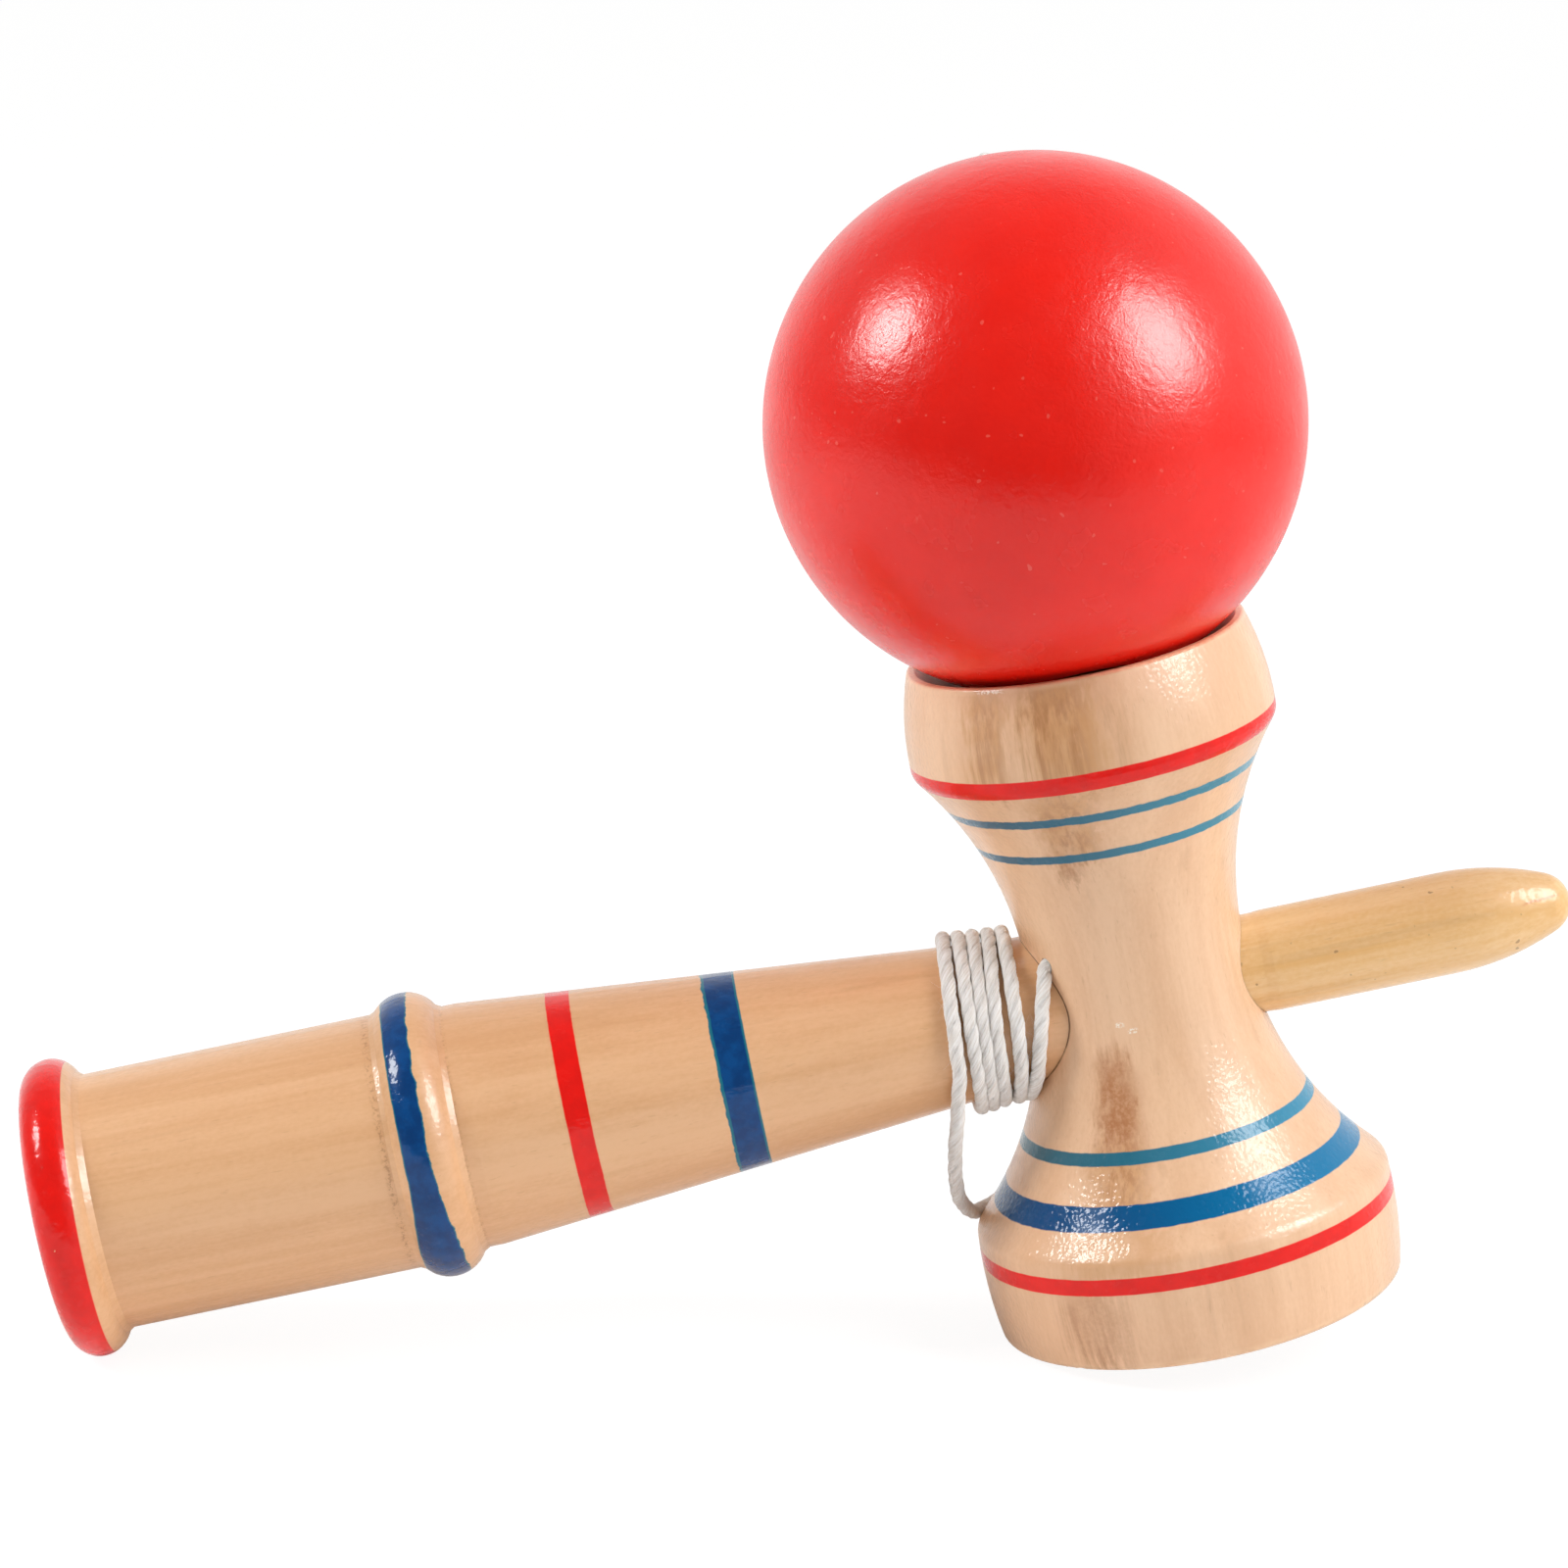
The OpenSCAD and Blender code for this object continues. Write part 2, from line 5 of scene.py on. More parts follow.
import bpy
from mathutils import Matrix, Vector


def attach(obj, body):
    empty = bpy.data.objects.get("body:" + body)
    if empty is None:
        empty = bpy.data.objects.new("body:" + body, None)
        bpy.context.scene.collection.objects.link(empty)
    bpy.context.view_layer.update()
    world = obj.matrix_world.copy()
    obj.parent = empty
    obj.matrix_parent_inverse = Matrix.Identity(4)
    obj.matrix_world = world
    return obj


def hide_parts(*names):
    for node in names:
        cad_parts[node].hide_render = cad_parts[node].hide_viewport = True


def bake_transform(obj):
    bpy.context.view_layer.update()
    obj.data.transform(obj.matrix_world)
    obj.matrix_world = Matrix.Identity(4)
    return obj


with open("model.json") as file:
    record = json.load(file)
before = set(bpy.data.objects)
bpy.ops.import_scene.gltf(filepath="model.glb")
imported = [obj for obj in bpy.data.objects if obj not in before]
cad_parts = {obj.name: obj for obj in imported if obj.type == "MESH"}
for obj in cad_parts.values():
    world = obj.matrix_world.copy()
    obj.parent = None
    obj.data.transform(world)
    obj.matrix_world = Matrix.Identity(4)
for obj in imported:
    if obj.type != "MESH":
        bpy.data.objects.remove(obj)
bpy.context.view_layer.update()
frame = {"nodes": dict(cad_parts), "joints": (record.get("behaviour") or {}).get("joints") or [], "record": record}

# The toy lies tilted, and the handle's axis crosses the crosspiece's axis.
# Places on the wood are in millimetres: along the spike, away from the viewer and up the crosspiece.
MM = 0.001
SPIKE_MOUNT_REACH = 24
record = frame["record"]
nodes = frame["nodes"]
spike_mount = next(m for m in record["mounts"] if m["name"] == "spike")
spike_way = Vector(spike_mount["axis"])
tilt = math.atan2(spike_way.z, spike_way.x)
crossing = Vector(spike_mount["pos_m"]) - SPIKE_MOUNT_REACH * MM * spike_way
ball_joint = next(j for j in frame["joints"] if j["name"] == "ball_spin")
ball_mid = Vector(ball_joint["pos_m"])
ball_up = Vector(ball_joint["axis"])

# Camera at the photograph's angle: a long lens a little above the toy
CAMERA_PLACE = Vector((-0.0309, -0.6372, 0.2133))
CAMERA_AIM = Vector((-0.00146, 0, 0.06479))
LENS = 135
SENSOR = 36

# Wood sizes that the finishes and the cord follow, in millimetres
HANDLE_LEN = 125.7
NECK_R = 8.3
NECK_END = 14.5
TAPER_END_R = 13.8
TAPER_LEN = 61.5
NECK_SLOPE = (TAPER_END_R - NECK_R) / TAPER_LEN
SPIKE_TAIL_R = 5.65
BALL_R = 30
BALL_BORE_R = 7
BALL_BORE_TOP = 8
BORE_CHAMFER = 0.5
POCKET_R = 5
POCKET_TOP = 18
CORD_HOLE_R = 0.9

# Fineness of the turned ball: steps round it, along its outside and in the cord hole's mouth
BALL_STEPS = 144
OUTSIDE_STEPS = 96
MOUTH_STEPS = 12
WELD_REACH = 0.001
SMOOTH_UP_TO = math.radians(35)

# Cord: three plies laid together, in millimetres
CORD_D = 1.5
CORD_SEAT = 0.1
PLY_R = 0.68
PLY_OFFSET = 0.18
LAY_LENGTH = 7
RING_STEP = 0.4
PLIES = 3
PLY_SIDES = 12
# Uneven thickness of the plies: amount, step along the cord and step from ply to ply
PLY_SWELLS = ((0.06, 0.37, 2.1), (0.05, 0.083, 4))
# Turn angle round the neck, from the top towards the front, and distance from the crosspiece's axis
TURN_PLACES = [
    (48, 10.6),
    (100, 12.8),
    (163, 14.8),
    (180, 15.1),
    (270, 14.8),
    (360, 14.3),
    (450, 15.0),
    (540, 16.2),
    (720, 15.9),
    (810, 17.35),
    (900, 17.7),
    (1080, 17.6),
    (1170, 18.7),
    (1260, 19.1),
    (1440, 19.2),
    (1530, 20.05),
    (1620, 20.45),
    (1800, 21.0),
    (1890, 22.1),
    (1910, 22.3),
]
# The glued end, as reaches into the crosspiece
TAIL_REACHES = (6, 4, 2)
TURN_STEP = 6
# Free stretch, as it lies: round behind the lower cup and up to the ball's back
FREE_POINTS = [
    (17.5, -7.5, 27),
    (17.5, -5, 22.5),
    (18, -1.5, 18),
    (19, 2, 15),
    (20.5, 5.5, 13),
    (21.5, 9.5, 12),
    (23.5, 14, 11.5),
    (26.5, 18.5, 12.5),
    (29.5, 22.5, 16),
    (32, 25, 21),
    (34, 27, 28),
    (35.5, 28.5, 36),
    (36.5, 29.5, 45),
    (37, 30, 54),
    (37, 30.5, 63),
    (36.5, 30.5, 72),
    (36, 30.5, 81),
    (35, 30, 90),
]
HANG_SIDE = math.radians(16)
CORD_GAP = 0.15
MOUTH_RING_R = 3.4
MOUTH_RING_H = 27.289
OVER_BALL_STEPS = 8
INTO_HOLE_STEPS = 6
INSIDE_HEIGHTS = (24, 20, 16, 12)
KNOT_H = 9.8
ROUTE_STEPS = 5

# Loose fibres of the cord, in millimetres, with some rings at both ends left bare
FIBRE_COUNT = 600
FIBRE_SEED = 11
FIBRE_PARTS = 5
FIBRE_SIDES = 3
FIBRE_R = 0.013
FIBRE_THINNING = 0.7
FIBRE_ROOT = 0.7
FIBRE_LEANS = (0.15, 0.7)
FIBRE_CURLS = (0.1, 0.8)
FIBRE_LENGTHS = (0.5, 2.3)
BARE_START_RINGS = 20
BARE_END_RINGS = 40

# Knot under the bead, in millimetres
KNOT_SIZE = 0.4
KNOT_DEPTH = 0.9
KNOT_STEPS = 72
KNOT_RING_STEP = 0.15
KNOT_PLY_R = 0.3
KNOT_PLY_OFFSET = 0.28
KNOT_LAY_LENGTH = 4


def lying(x, y, z):
    """Place in the row's frame of a point on the wood."""
    level = math.cos(tilt) * x - math.sin(tilt) * z
    height = math.sin(tilt) * x + math.cos(tilt) * z
    return crossing + MM * Vector((level, y, height))


def set_camera():
    camera = bpy.data.cameras.new("camera")
    camera.lens = LENS
    camera.sensor_width = SENSOR
    stand = bpy.data.objects.new("camera", camera)
    bpy.context.scene.collection.objects.link(stand)
    stand.location = CAMERA_PLACE
    stand.rotation_euler = (CAMERA_AIM - CAMERA_PLACE).to_track_quat("-Z", "Y").to_euler()
    bpy.context.scene.camera = stand


# Cord route

def smooth_value(places, at):
    """Value at a place on a smooth line through pairs of place and value."""
    last = len(places) - 1
    i = max(k for k in range(last) if places[k][0] <= at or k == 0)

    def slope(k):
        low, high = places[max(k - 1, 0)], places[min(k + 1, last)]
        return (high[1] - low[1]) / (high[0] - low[0])

    (a, va), (b, vb) = places[i], places[i + 1]
    run = b - a
    t = (at - a) / run
    ease = t * t * (3 - 2 * t)
    pull = run * t * (1 - t) * ((1 - t) * slope(i) - t * slope(i + 1))
    return va + (vb - va) * ease + pull


def on_neck(turn):
    """Middle of the cord at a turn angle in degrees."""
    along = smooth_value(TURN_PLACES, turn)
    reach = NECK_R + NECK_SLOPE * max(along - NECK_END, 0) + CORD_SEAT + CORD_D / 2
    angle = math.radians(turn)
    return lying(-along, -reach * math.sin(angle), reach * math.cos(angle))


def smooth_line(points, steps):
    """Points on a smooth curve through the given ones."""
    line = []
    for i in range(len(points) - 1):
        a = points[max(i - 1, 0)]
        b, c = points[i], points[i + 1]
        d = points[min(i + 2, len(points) - 1)]
        for k in range(steps):
            t = k / steps
            bend = (2 * a - 5 * b + 4 * c - d) * t * t + (3 * b - a - 3 * c + d) * t ** 3
            line.append(0.5 * (2 * b + (c - a) * t + bend))
    line.append(points[-1])
    return line


def even_line(points, step):
    """The same line with its points an even step apart."""
    line = [points[0]]
    left = step
    for a, b in zip(points, points[1:]):
        run = (b - a).length
        while run >= left > 0:
            a = a + (b - a) * (left / run)
            run = (b - a).length
            line.append(a)
            left = step
        left -= run
    return line


def cord_route():
    """Middle line of the whole cord: glued end, winding, free stretch, over the ball and inside it."""
    first, last = TURN_PLACES[0][0], TURN_PLACES[-1][0]
    turns = [on_neck(t) for t in range(first, last + 1, TURN_STEP)]
    mouth = turns[0]
    inward = (turns[0] - turns[1]).normalized()
    sideways = Vector((math.cos(tilt), 0, math.sin(tilt)))
    hole_way = (inward + sideways).normalized()
    tail = [mouth + r * MM * hole_way for r in TAIL_REACHES]
    free = [MM * Vector(p) for p in FREE_POINTS]
    hang_way = Vector((math.sin(HANG_SIDE), math.cos(HANG_SIDE), 0))
    over_way = (hang_way - hang_way.dot(ball_up) * ball_up).normalized()
    over_end = math.acos(hang_way.dot(ball_up))
    over_start = math.atan2(MOUTH_RING_R, MOUTH_RING_H)
    over_r = MM * (BALL_R + CORD_GAP + CORD_D / 2)
    over_ball = []
    for k in range(OVER_BALL_STEPS, 0, -1):
        a = over_start + (over_end - over_start) * k / OVER_BALL_STEPS
        over_ball.append(ball_mid + over_r * (math.cos(a) * ball_up + math.sin(a) * over_way))
    mouth_ring = ball_mid + MM * (MOUTH_RING_H * ball_up + MOUTH_RING_R * over_way)
    into_hole = []
    for k in range(INTO_HOLE_STEPS, -1, -1):
        a = (math.pi / 2 + over_start) * k / INTO_HOLE_STEPS
        from_ring = math.sin(a) * ball_up - math.cos(a) * over_way
        into_hole.append(mouth_ring + MM * MOUTH_RING_R * from_ring)
    inside = [ball_mid + MM * h * ball_up for h in (*INSIDE_HEIGHTS, KNOT_H)]
    stretches = tail + turns + free + over_ball + into_hole + inside
    return even_line(smooth_line(stretches, ROUTE_STEPS), RING_STEP * MM)


def carried_frames(route):
    """Heading and two sideways directions at each point, carried along without twist."""
    frames = []
    side = None
    for i in range(len(route)):
        heading = (route[min(i + 1, len(route) - 1)] - route[max(i - 1, 0)]).normalized()
        if side is None:
            side = heading.orthogonal()
        side = (side - side.dot(heading) * heading).normalized()
        frames.append((heading, side, heading.cross(side)))
    return frames


def laid_cord(name, route, ply_r, ply_offset, lay_length):
    """Plies twisted together along a route, as one mesh with a map of girth and length."""
    frames = carried_frames(route)
    points, faces, corners = [], [], []
    step = (route[1] - route[0]).length
    girth = 2 * math.pi * ply_r
    for ply in range(PLIES):
        first = len(points)
        for i, (mid, (heading, side, other)) in enumerate(zip(route, frames)):
            turn = 2 * math.pi * (i * step / lay_length + ply / PLIES)
            swell = 1
            for amount, along, across in PLY_SWELLS:
                swell += amount * math.sin(along * i + across * ply)
            centre = mid + ply_offset * (math.cos(turn) * side + math.sin(turn) * other)
            for k in range(PLY_SIDES):
                a = turn + 2 * math.pi * k / PLY_SIDES
                points.append(centre + ply_r * swell * (math.cos(a) * side + math.sin(a) * other))
        for i in range(len(route) - 1):
            for k in range(PLY_SIDES):
                n = (k + 1) % PLY_SIDES
                low, high = first + i * PLY_SIDES, first + (i + 1) * PLY_SIDES
                faces.append((low + k, low + n, high + n, high + k))
                left, right = girth * k / PLY_SIDES, girth * (k + 1) / PLY_SIDES
                here, ahead = i * step, (i + 1) * step
                corners += [(left, here), (right, here), (right, ahead), (left, ahead)]
        end = first + (len(route) - 1) * PLY_SIDES
        faces.append(tuple(first + k for k in reversed(range(PLY_SIDES))))
        faces.append(tuple(end + k for k in range(PLY_SIDES)))
        corners += [(0, 0)] * (2 * PLY_SIDES)
    return new_mesh(name, points, faces, corners)


def new_mesh(name, points, faces, corners=None):
    mesh = bpy.data.meshes.new(name)
    mesh.from_pydata(points, [], faces)
    if corners:
        uv = mesh.uv_layers.new(name="girth_and_length")
        for loop, corner in zip(uv.data, corners):
            loop.uv = [value / MM for value in corner]
    mesh.validate()
    mesh.update()
    for face in mesh.polygons:
        face.use_smooth = True
    piece = bpy.data.objects.new(name, mesh)
    bpy.context.scene.collection.objects.link(piece)
    return piece


def loose_fibres(name, route, count, seed):
    """Short hairs that stand off the cord."""
    chance = random.Random(seed)
    frames = carried_frames(route)
    points, faces = [], []
    parts, sides, hair_r = FIBRE_PARTS, FIBRE_SIDES, FIBRE_R * MM
    for _ in range(count):
        i = chance.randrange(BARE_START_RINGS, len(route) - BARE_END_RINGS)
        heading, side, other = frames[i]
        a = chance.uniform(0, 2 * math.pi)
        outward = math.cos(a) * side + math.sin(a) * other
        start = route[i] + FIBRE_ROOT * MM * outward
        way = (outward * chance.uniform(*FIBRE_LEANS) + heading * chance.uniform(-1, 1)).normalized()
        curl = Vector([chance.uniform(-1, 1) for _ in range(3)]) * chance.uniform(*FIBRE_CURLS)
        length = MM * chance.uniform(*FIBRE_LENGTHS)
        first = len(points)
        for p in range(parts):
            t = p / (parts - 1)
            mid = start + length * (t * way + t * t * 0.5 * curl)
            thin = hair_r * (1 - FIBRE_THINNING * t)
            for k in range(sides):
                b = 2 * math.pi * k / sides
                points.append(mid + thin * (math.cos(b) * side + math.sin(b) * other))
        for p in range(parts - 1):
            for k in range(sides):
                n = (k + 1) % sides
                low, high = first + p * sides, first + (p + 1) * sides
                faces.append((low + k, low + n, high + n, high + k))
        last = first + (parts - 1) * sides
        faces.append((first + 2, first + 1, first))
        faces.append((last, last + 1, last + 2))
    return new_mesh(name, points, faces)


def knot_route():
    """An overhand knot drawn tight under the bead, about the ball's cord line."""
    side = ball_up.orthogonal().normalized()
    other = ball_up.cross(side)
    middle = ball_mid + MM * KNOT_H * ball_up
    size = KNOT_SIZE * MM
    loop = []
    for k in range(KNOT_STEPS + 1):
        t = 2 * math.pi * k / KNOT_STEPS
        x = math.sin(t) + 2 * math.sin(2 * t)
        y = math.cos(t) - 2 * math.cos(2 * t)
        z = -math.sin(3 * t)
        loop.append(middle + size * (x * side + y * other + KNOT_DEPTH * z * ball_up))
    return even_line(loop, KNOT_RING_STEP * MM)


# Ball

def turned(name, outline, middle, way, steps):
    """A closed outline of radius and height, drawn point by point and spun round its axis."""
    side = way.orthogonal().normalized()
    points = [middle + MM * (radius * side + height * way) for radius, height in outline]
    bpy.ops.object.select_all(action="DESELECT")
    bpy.ops.mesh.primitive_plane_add(size=MM, location=points[0])
    bpy.ops.object.transform_apply(location=True)
    piece = bpy.context.object
    piece.name = name
    bpy.ops.object.mode_set(mode="EDIT")
    bpy.ops.mesh.select_all(action="SELECT")
    bpy.ops.mesh.merge(type="CENTER")
    for before, after in zip(points, points[1:] + points[:1]):
        bpy.ops.mesh.extrude_vertices_move(TRANSFORM_OT_translate={"value": after - before})
    bpy.ops.mesh.select_all(action="SELECT")
    bpy.ops.mesh.spin(steps=steps, angle=2 * math.pi, center=middle, axis=way)
    bpy.ops.mesh.select_all(action="SELECT")
    bpy.ops.mesh.remove_doubles(threshold=WELD_REACH * MM)
    bpy.ops.mesh.normals_make_consistent(inside=False)
    bpy.ops.object.mode_set(mode="OBJECT")
    bpy.ops.object.shade_smooth_by_angle(angle=SMOOTH_UP_TO)
    return piece


def arc(middle, radius, start, end, steps):
    """Points on an arc. Angles are in degrees from the axis outwards."""
    points = []
    for k in range(steps + 1):
        a = math.radians(start + (end - start) * k / steps)
        points.append((middle[0] + radius * math.sin(a), middle[1] + radius * math.cos(a)))
    return points


def ball_outline():
    """Half section of the ball: cord hole with a rounded mouth, outside, bore and bead pocket."""
    mouth_way = math.degrees(math.atan2(MOUTH_RING_R, MOUTH_RING_H))
    mouth_round = MOUTH_RING_R - CORD_HOLE_R
    bore_way = 180 - math.degrees(math.asin((BALL_BORE_R + BORE_CHAMFER) / BALL_R))
    bore_mouth = -math.sqrt(BALL_R ** 2 - BALL_BORE_R ** 2) + BORE_CHAMFER
    mouth = arc((MOUTH_RING_R, MOUTH_RING_H), mouth_round, -90, mouth_way, MOUTH_STEPS)
    outside = arc((0, 0), BALL_R, mouth_way, bore_way, OUTSIDE_STEPS)
    inside = [
        (BALL_BORE_R, bore_mouth),
        (BALL_BORE_R, BALL_BORE_TOP),
        (POCKET_R, BALL_BORE_TOP),
        (POCKET_R, POCKET_TOP),
        (CORD_HOLE_R, POCKET_TOP),
    ]
    return mouth + outside[1:] + inside


# Material helpers

# Sockets of the colour mixing node
MIX_SHARE = 0
MIX_FIRST = 6
MIX_SECOND = 7
MIX_RESULT = 2


def tint(red, green, blue):
    """Colour from the 0 to 255 values that it shows on screen."""
    values = []
    for value in (red, green, blue):
        c = value / 255
        values.append(c / 12.92 if c <= 0.04045 else ((c + 0.055) / 1.055) ** 2.4)
    return (*values, 1)


def new_material(name):
    material = bpy.data.materials.new(name)
    material.use_nodes = True
    tree = material.node_tree
    return material, tree, tree.nodes["Principled BSDF"]


def plug(tree, socket, value):
    """Links a node's output to the socket, or sets the socket to a plain value."""
    if isinstance(value, bpy.types.NodeSocket):
        tree.links.new(value, socket)
    else:
        socket.default_value = value


def calc(tree, kind, a, b=0.0, c=0.0):
    node = tree.nodes.new("ShaderNodeMath")
    node.operation = kind
    for socket, value in zip(node.inputs, (a, b, c)):
        plug(tree, socket, value)
    return node.outputs[0]


def rise(tree, value, low, high, start=0.0, end=1.0):
    """Goes smoothly from start to end as the value goes from low to high."""
    node = tree.nodes.new("ShaderNodeMapRange")
    node.interpolation_type = "SMOOTHSTEP"
    for socket, given in zip(node.inputs, (value, low, high, start, end)):
        plug(tree, socket, given)
    return node.outputs[0]


def mixed(tree, share, first, second):
    """The first colour, and the second one by its share."""
    node = tree.nodes.new("ShaderNodeMix")
    node.data_type = "RGBA"
    plug(tree, node.inputs[MIX_SHARE], share)
    plug(tree, node.inputs[MIX_FIRST], first)
    plug(tree, node.inputs[MIX_SECOND], second)
    return node.outputs[MIX_RESULT]


def darker(tree, colour, share):
    """The colour times one minus the share."""
    node = tree.nodes.new("ShaderNodeMix")
    node.data_type = "RGBA"
    node.blend_type = "MULTIPLY"
    plug(tree, node.inputs[MIX_SHARE], share)
    plug(tree, node.inputs[MIX_FIRST], colour)
    node.inputs[MIX_SECOND].default_value = (0, 0, 0, 1)
    return node.outputs[MIX_RESULT]


def stretched(tree, place, scale, shift=(0, 0, 0)):
    node = tree.nodes.new("ShaderNodeMapping")
    plug(tree, node.inputs["Vector"], place)
    node.inputs["Scale"].default_value = scale
    node.inputs["Location"].default_value = shift
    return node.outputs[0]


def noise(tree, place, scale, detail=2.0, roughness=0.5, distortion=0.0):
    node = tree.nodes.new("ShaderNodeTexNoise")
    plug(tree, node.inputs["Vector"], place)
    node.inputs["Scale"].default_value = scale
    node.inputs["Detail"].default_value = detail
    node.inputs["Roughness"].default_value = roughness
    node.inputs["Distortion"].default_value = distortion
    return node.outputs[0]


def bumped(tree, height, strength, distance):
    node = tree.nodes.new("ShaderNodeBump")
    plug(tree, node.inputs["Height"], height)
    node.inputs["Strength"].default_value = strength
    node.inputs["Distance"].default_value = distance
    return node.outputs[0]


def wood_place(tree):
    """Place on the wood in millimetres, and its three parts."""
    coordinates = tree.nodes.new("ShaderNodeTexCoord")
    mapping = tree.nodes.new("ShaderNodeMapping")
    tree.links.new(coordinates.outputs["Object"], mapping.inputs["Vector"])
    mapping.inputs["Scale"].default_value = (1 / MM, 1 / MM, 1 / MM)
    mapping.inputs["Rotation"].default_value = (0, tilt, 0)
    crossing_turned = Vector((
        crossing.x * math.cos(tilt) + crossing.z * math.sin(tilt),
        crossing.y,
        crossing.z * math.cos(tilt) - crossing.x * math.sin(tilt),
    ))
    mapping.inputs["Location"].default_value = -crossing_turned / MM
    parts = tree.nodes.new("ShaderNodeSeparateXYZ")
    tree.links.new(mapping.outputs[0], parts.inputs[0])
    return mapping.outputs[0], parts.outputs[0], parts.outputs[1], parts.outputs[2]


def length_of(tree, a, b):
    squares = calc(tree, "ADD", calc(tree, "MULTIPLY", a, a), calc(tree, "MULTIPLY", b, b))
    return calc(tree, "SQRT", squares)


def scaled(tree, value, share):
    return calc(tree, "MULTIPLY", value, share)


def both(tree, first, second):
    return calc(tree, "MULTIPLY", first, second)


def bare_wood(tree, place, grain, pale, warm, brown):
    """Colour and height of fine turned wood whose grain runs along X or Z."""

    def along_grain(share):
        return stretched(tree, place, (share, 1, 1) if grain == "X" else (1, 1, share))

    fibre = along_grain(FIBRE_STRETCH)
    figure = noise(tree, fibre, 0.17, 2, 0.45)
    lines = noise(tree, fibre, 1.2, 3, 0.6)
    speckle = noise(tree, along_grain(SPECKLE_STRETCH), 2.6, 2)
    share = calc(tree, "MULTIPLY_ADD", lines, 0.4, scaled(tree, figure, 0.8))
    share = calc(tree, "MULTIPLY_ADD", speckle, 0.25, share)
    colour = mixed(tree, rise(tree, share, 0.5, 0.95), pale, warm)
    dark_lines = rise(tree, noise(tree, fibre, 0.5, 2), 0.62, 0.76)
    colour = mixed(tree, scaled(tree, dark_lines, 0.12), colour, brown)
    pores = rise(tree, noise(tree, along_grain(PORE_STRETCH), 3.6, 1), 0.68, 0.78)
    colour = mixed(tree, scaled(tree, pores, 0.15), colour, brown)
    height = calc(tree, "SUBTRACT", calc(tree, "ADD", lines, scaled(tree, speckle, 0.5)), pores)
    return colour, height


def between(tree, along, low, high, soft=0.07):
    """One between two edges along the turning. The edges may be numbers or wander."""
    above = rise(tree, calc(tree, "SUBTRACT", along, low), -soft, soft)
    below = rise(tree, calc(tree, "SUBTRACT", high, along), -soft, soft)
    return both(tree, above, below)


def wandering(tree, ragged, place, reach):
    """A brushed edge that strays a little from its place."""
    return calc(tree, "MULTIPLY_ADD", calc(tree, "SUBTRACT", ragged, 0.5), reach, place)


def unchipped(tree, place):
    """Zero in a few tiny chips, where the paint has come off, and one elsewhere."""
    return rise(tree, noise(tree, place, 0.9, 1), 0.79, 0.82, 1.0, 0.0)


def brushed(tree, place, first, second):
    """Two tones of one paint, as the brush left them."""
    return mixed(tree, rise(tree, noise(tree, place, 0.5, 4, 0.6), 0.35, 0.65), first, second)


def satin(tree, shader, place, painted, height, pitting):
    """Satin lacquer over wood and paint, with a rippled and more or less pitted skin."""
    worn = noise(tree, place, 0.7, 3)
    bare = rise(tree, worn, 0.25, 0.75, 0.36, 0.5)
    plug(tree, shader.inputs["Roughness"], calc(tree, "MULTIPLY_ADD", painted, -0.2, bare))
    plug(tree, shader.inputs["Normal"], bumped(tree, height, 0.14, 0.0001))
    ripple = noise(tree, place, 1.4, 1)
    pits = noise(tree, place, 2.2, 0)
    skin = calc(tree, "MULTIPLY_ADD", pits, pitting, ripple)
    skin = calc(tree, "MULTIPLY_ADD", height, 0.2, skin)
    plug(tree, shader.inputs["Coat Normal"], bumped(tree, skin, 0.4, 0.0002))
    plug(tree, shader.inputs["Specular IOR Level"], calc(tree, "MULTIPLY_ADD", painted, -0.4, 0.5))
    shader.inputs["IOR"].default_value = WOOD_IOR
    shader.inputs["Coat Weight"].default_value = LACQUER_WEIGHT
    shader.inputs["Coat Roughness"].default_value = LACQUER_ROUGHNESS


# Finishes

PALE_WOOD = tint(231, 183, 138)
WARM_WOOD = tint(217, 164, 116)
BROWN_WOOD = tint(160, 104, 58)
BURNISHED_WOOD = tint(244, 208, 170)
ROSY_WOOD = tint(238, 197, 160)
ROSY_GRAIN = tint(226, 181, 142)
OCHRE_STAIN = tint(196, 138, 76)
BROWN_STAIN = tint(154, 94, 46)
WARM_STAIN = tint(172, 106, 54)
# White of the painted glints on the crosspiece
GLINT_WHITE = tint(252, 242, 228)
# Brown of the painted shade in the joints' narrow gaps
SEAM_SHADE_BROWN = tint(84, 46, 22)
RED_PAINT = tint(234, 22, 14)
DEEP_RED = tint(224, 22, 15)
NAVY_PAINT = tint(0, 56, 112)
NAVY_LIGHT = tint(2, 70, 132)
TEAL_EDGE = tint(28, 112, 130)
# Blue and teal paints in a shaded and a lit tone, for light painted in across the crosspiece
SHADED_BLUE = tint(0, 76, 130)
LIT_BLUE = tint(0, 121, 172)
SHADED_TEAL = tint(4, 102, 126)
LIT_TEAL = tint(0, 138, 178)
SHADED_THIN_BLUE = tint(4, 98, 128)
LIT_THIN_BLUE = tint(22, 138, 166)
STRAW_WOOD = tint(246, 208, 155)
STRAW_GRAIN = tint(232, 182, 115)
STRAW_BROWN = tint(150, 96, 45)
SPECK_BROWN = tint(120, 74, 36)
RED_VEIN = tint(206, 96, 58)
BEAD_WOOD = tint(216, 168, 118)
BEAD_GRAIN = tint(186, 134, 84)
BEAD_BROWN = tint(120, 76, 40)
BALL_RED = tint(234, 22, 7)
BALL_LIGHT_RED = tint(242, 26, 8)
BALL_SPECK = tint(250, 120, 105)
COTTON_SHADE = tint(232, 225, 216)
COTTON_WHITE = tint(255, 253, 250)
COTTON_TUFT = tint(240, 232, 222)

# How much slower the wood changes along its grain than across it
FIBRE_STRETCH = 0.035
SPECKLE_STRETCH = 0.55
PORE_STRETCH = 0.14

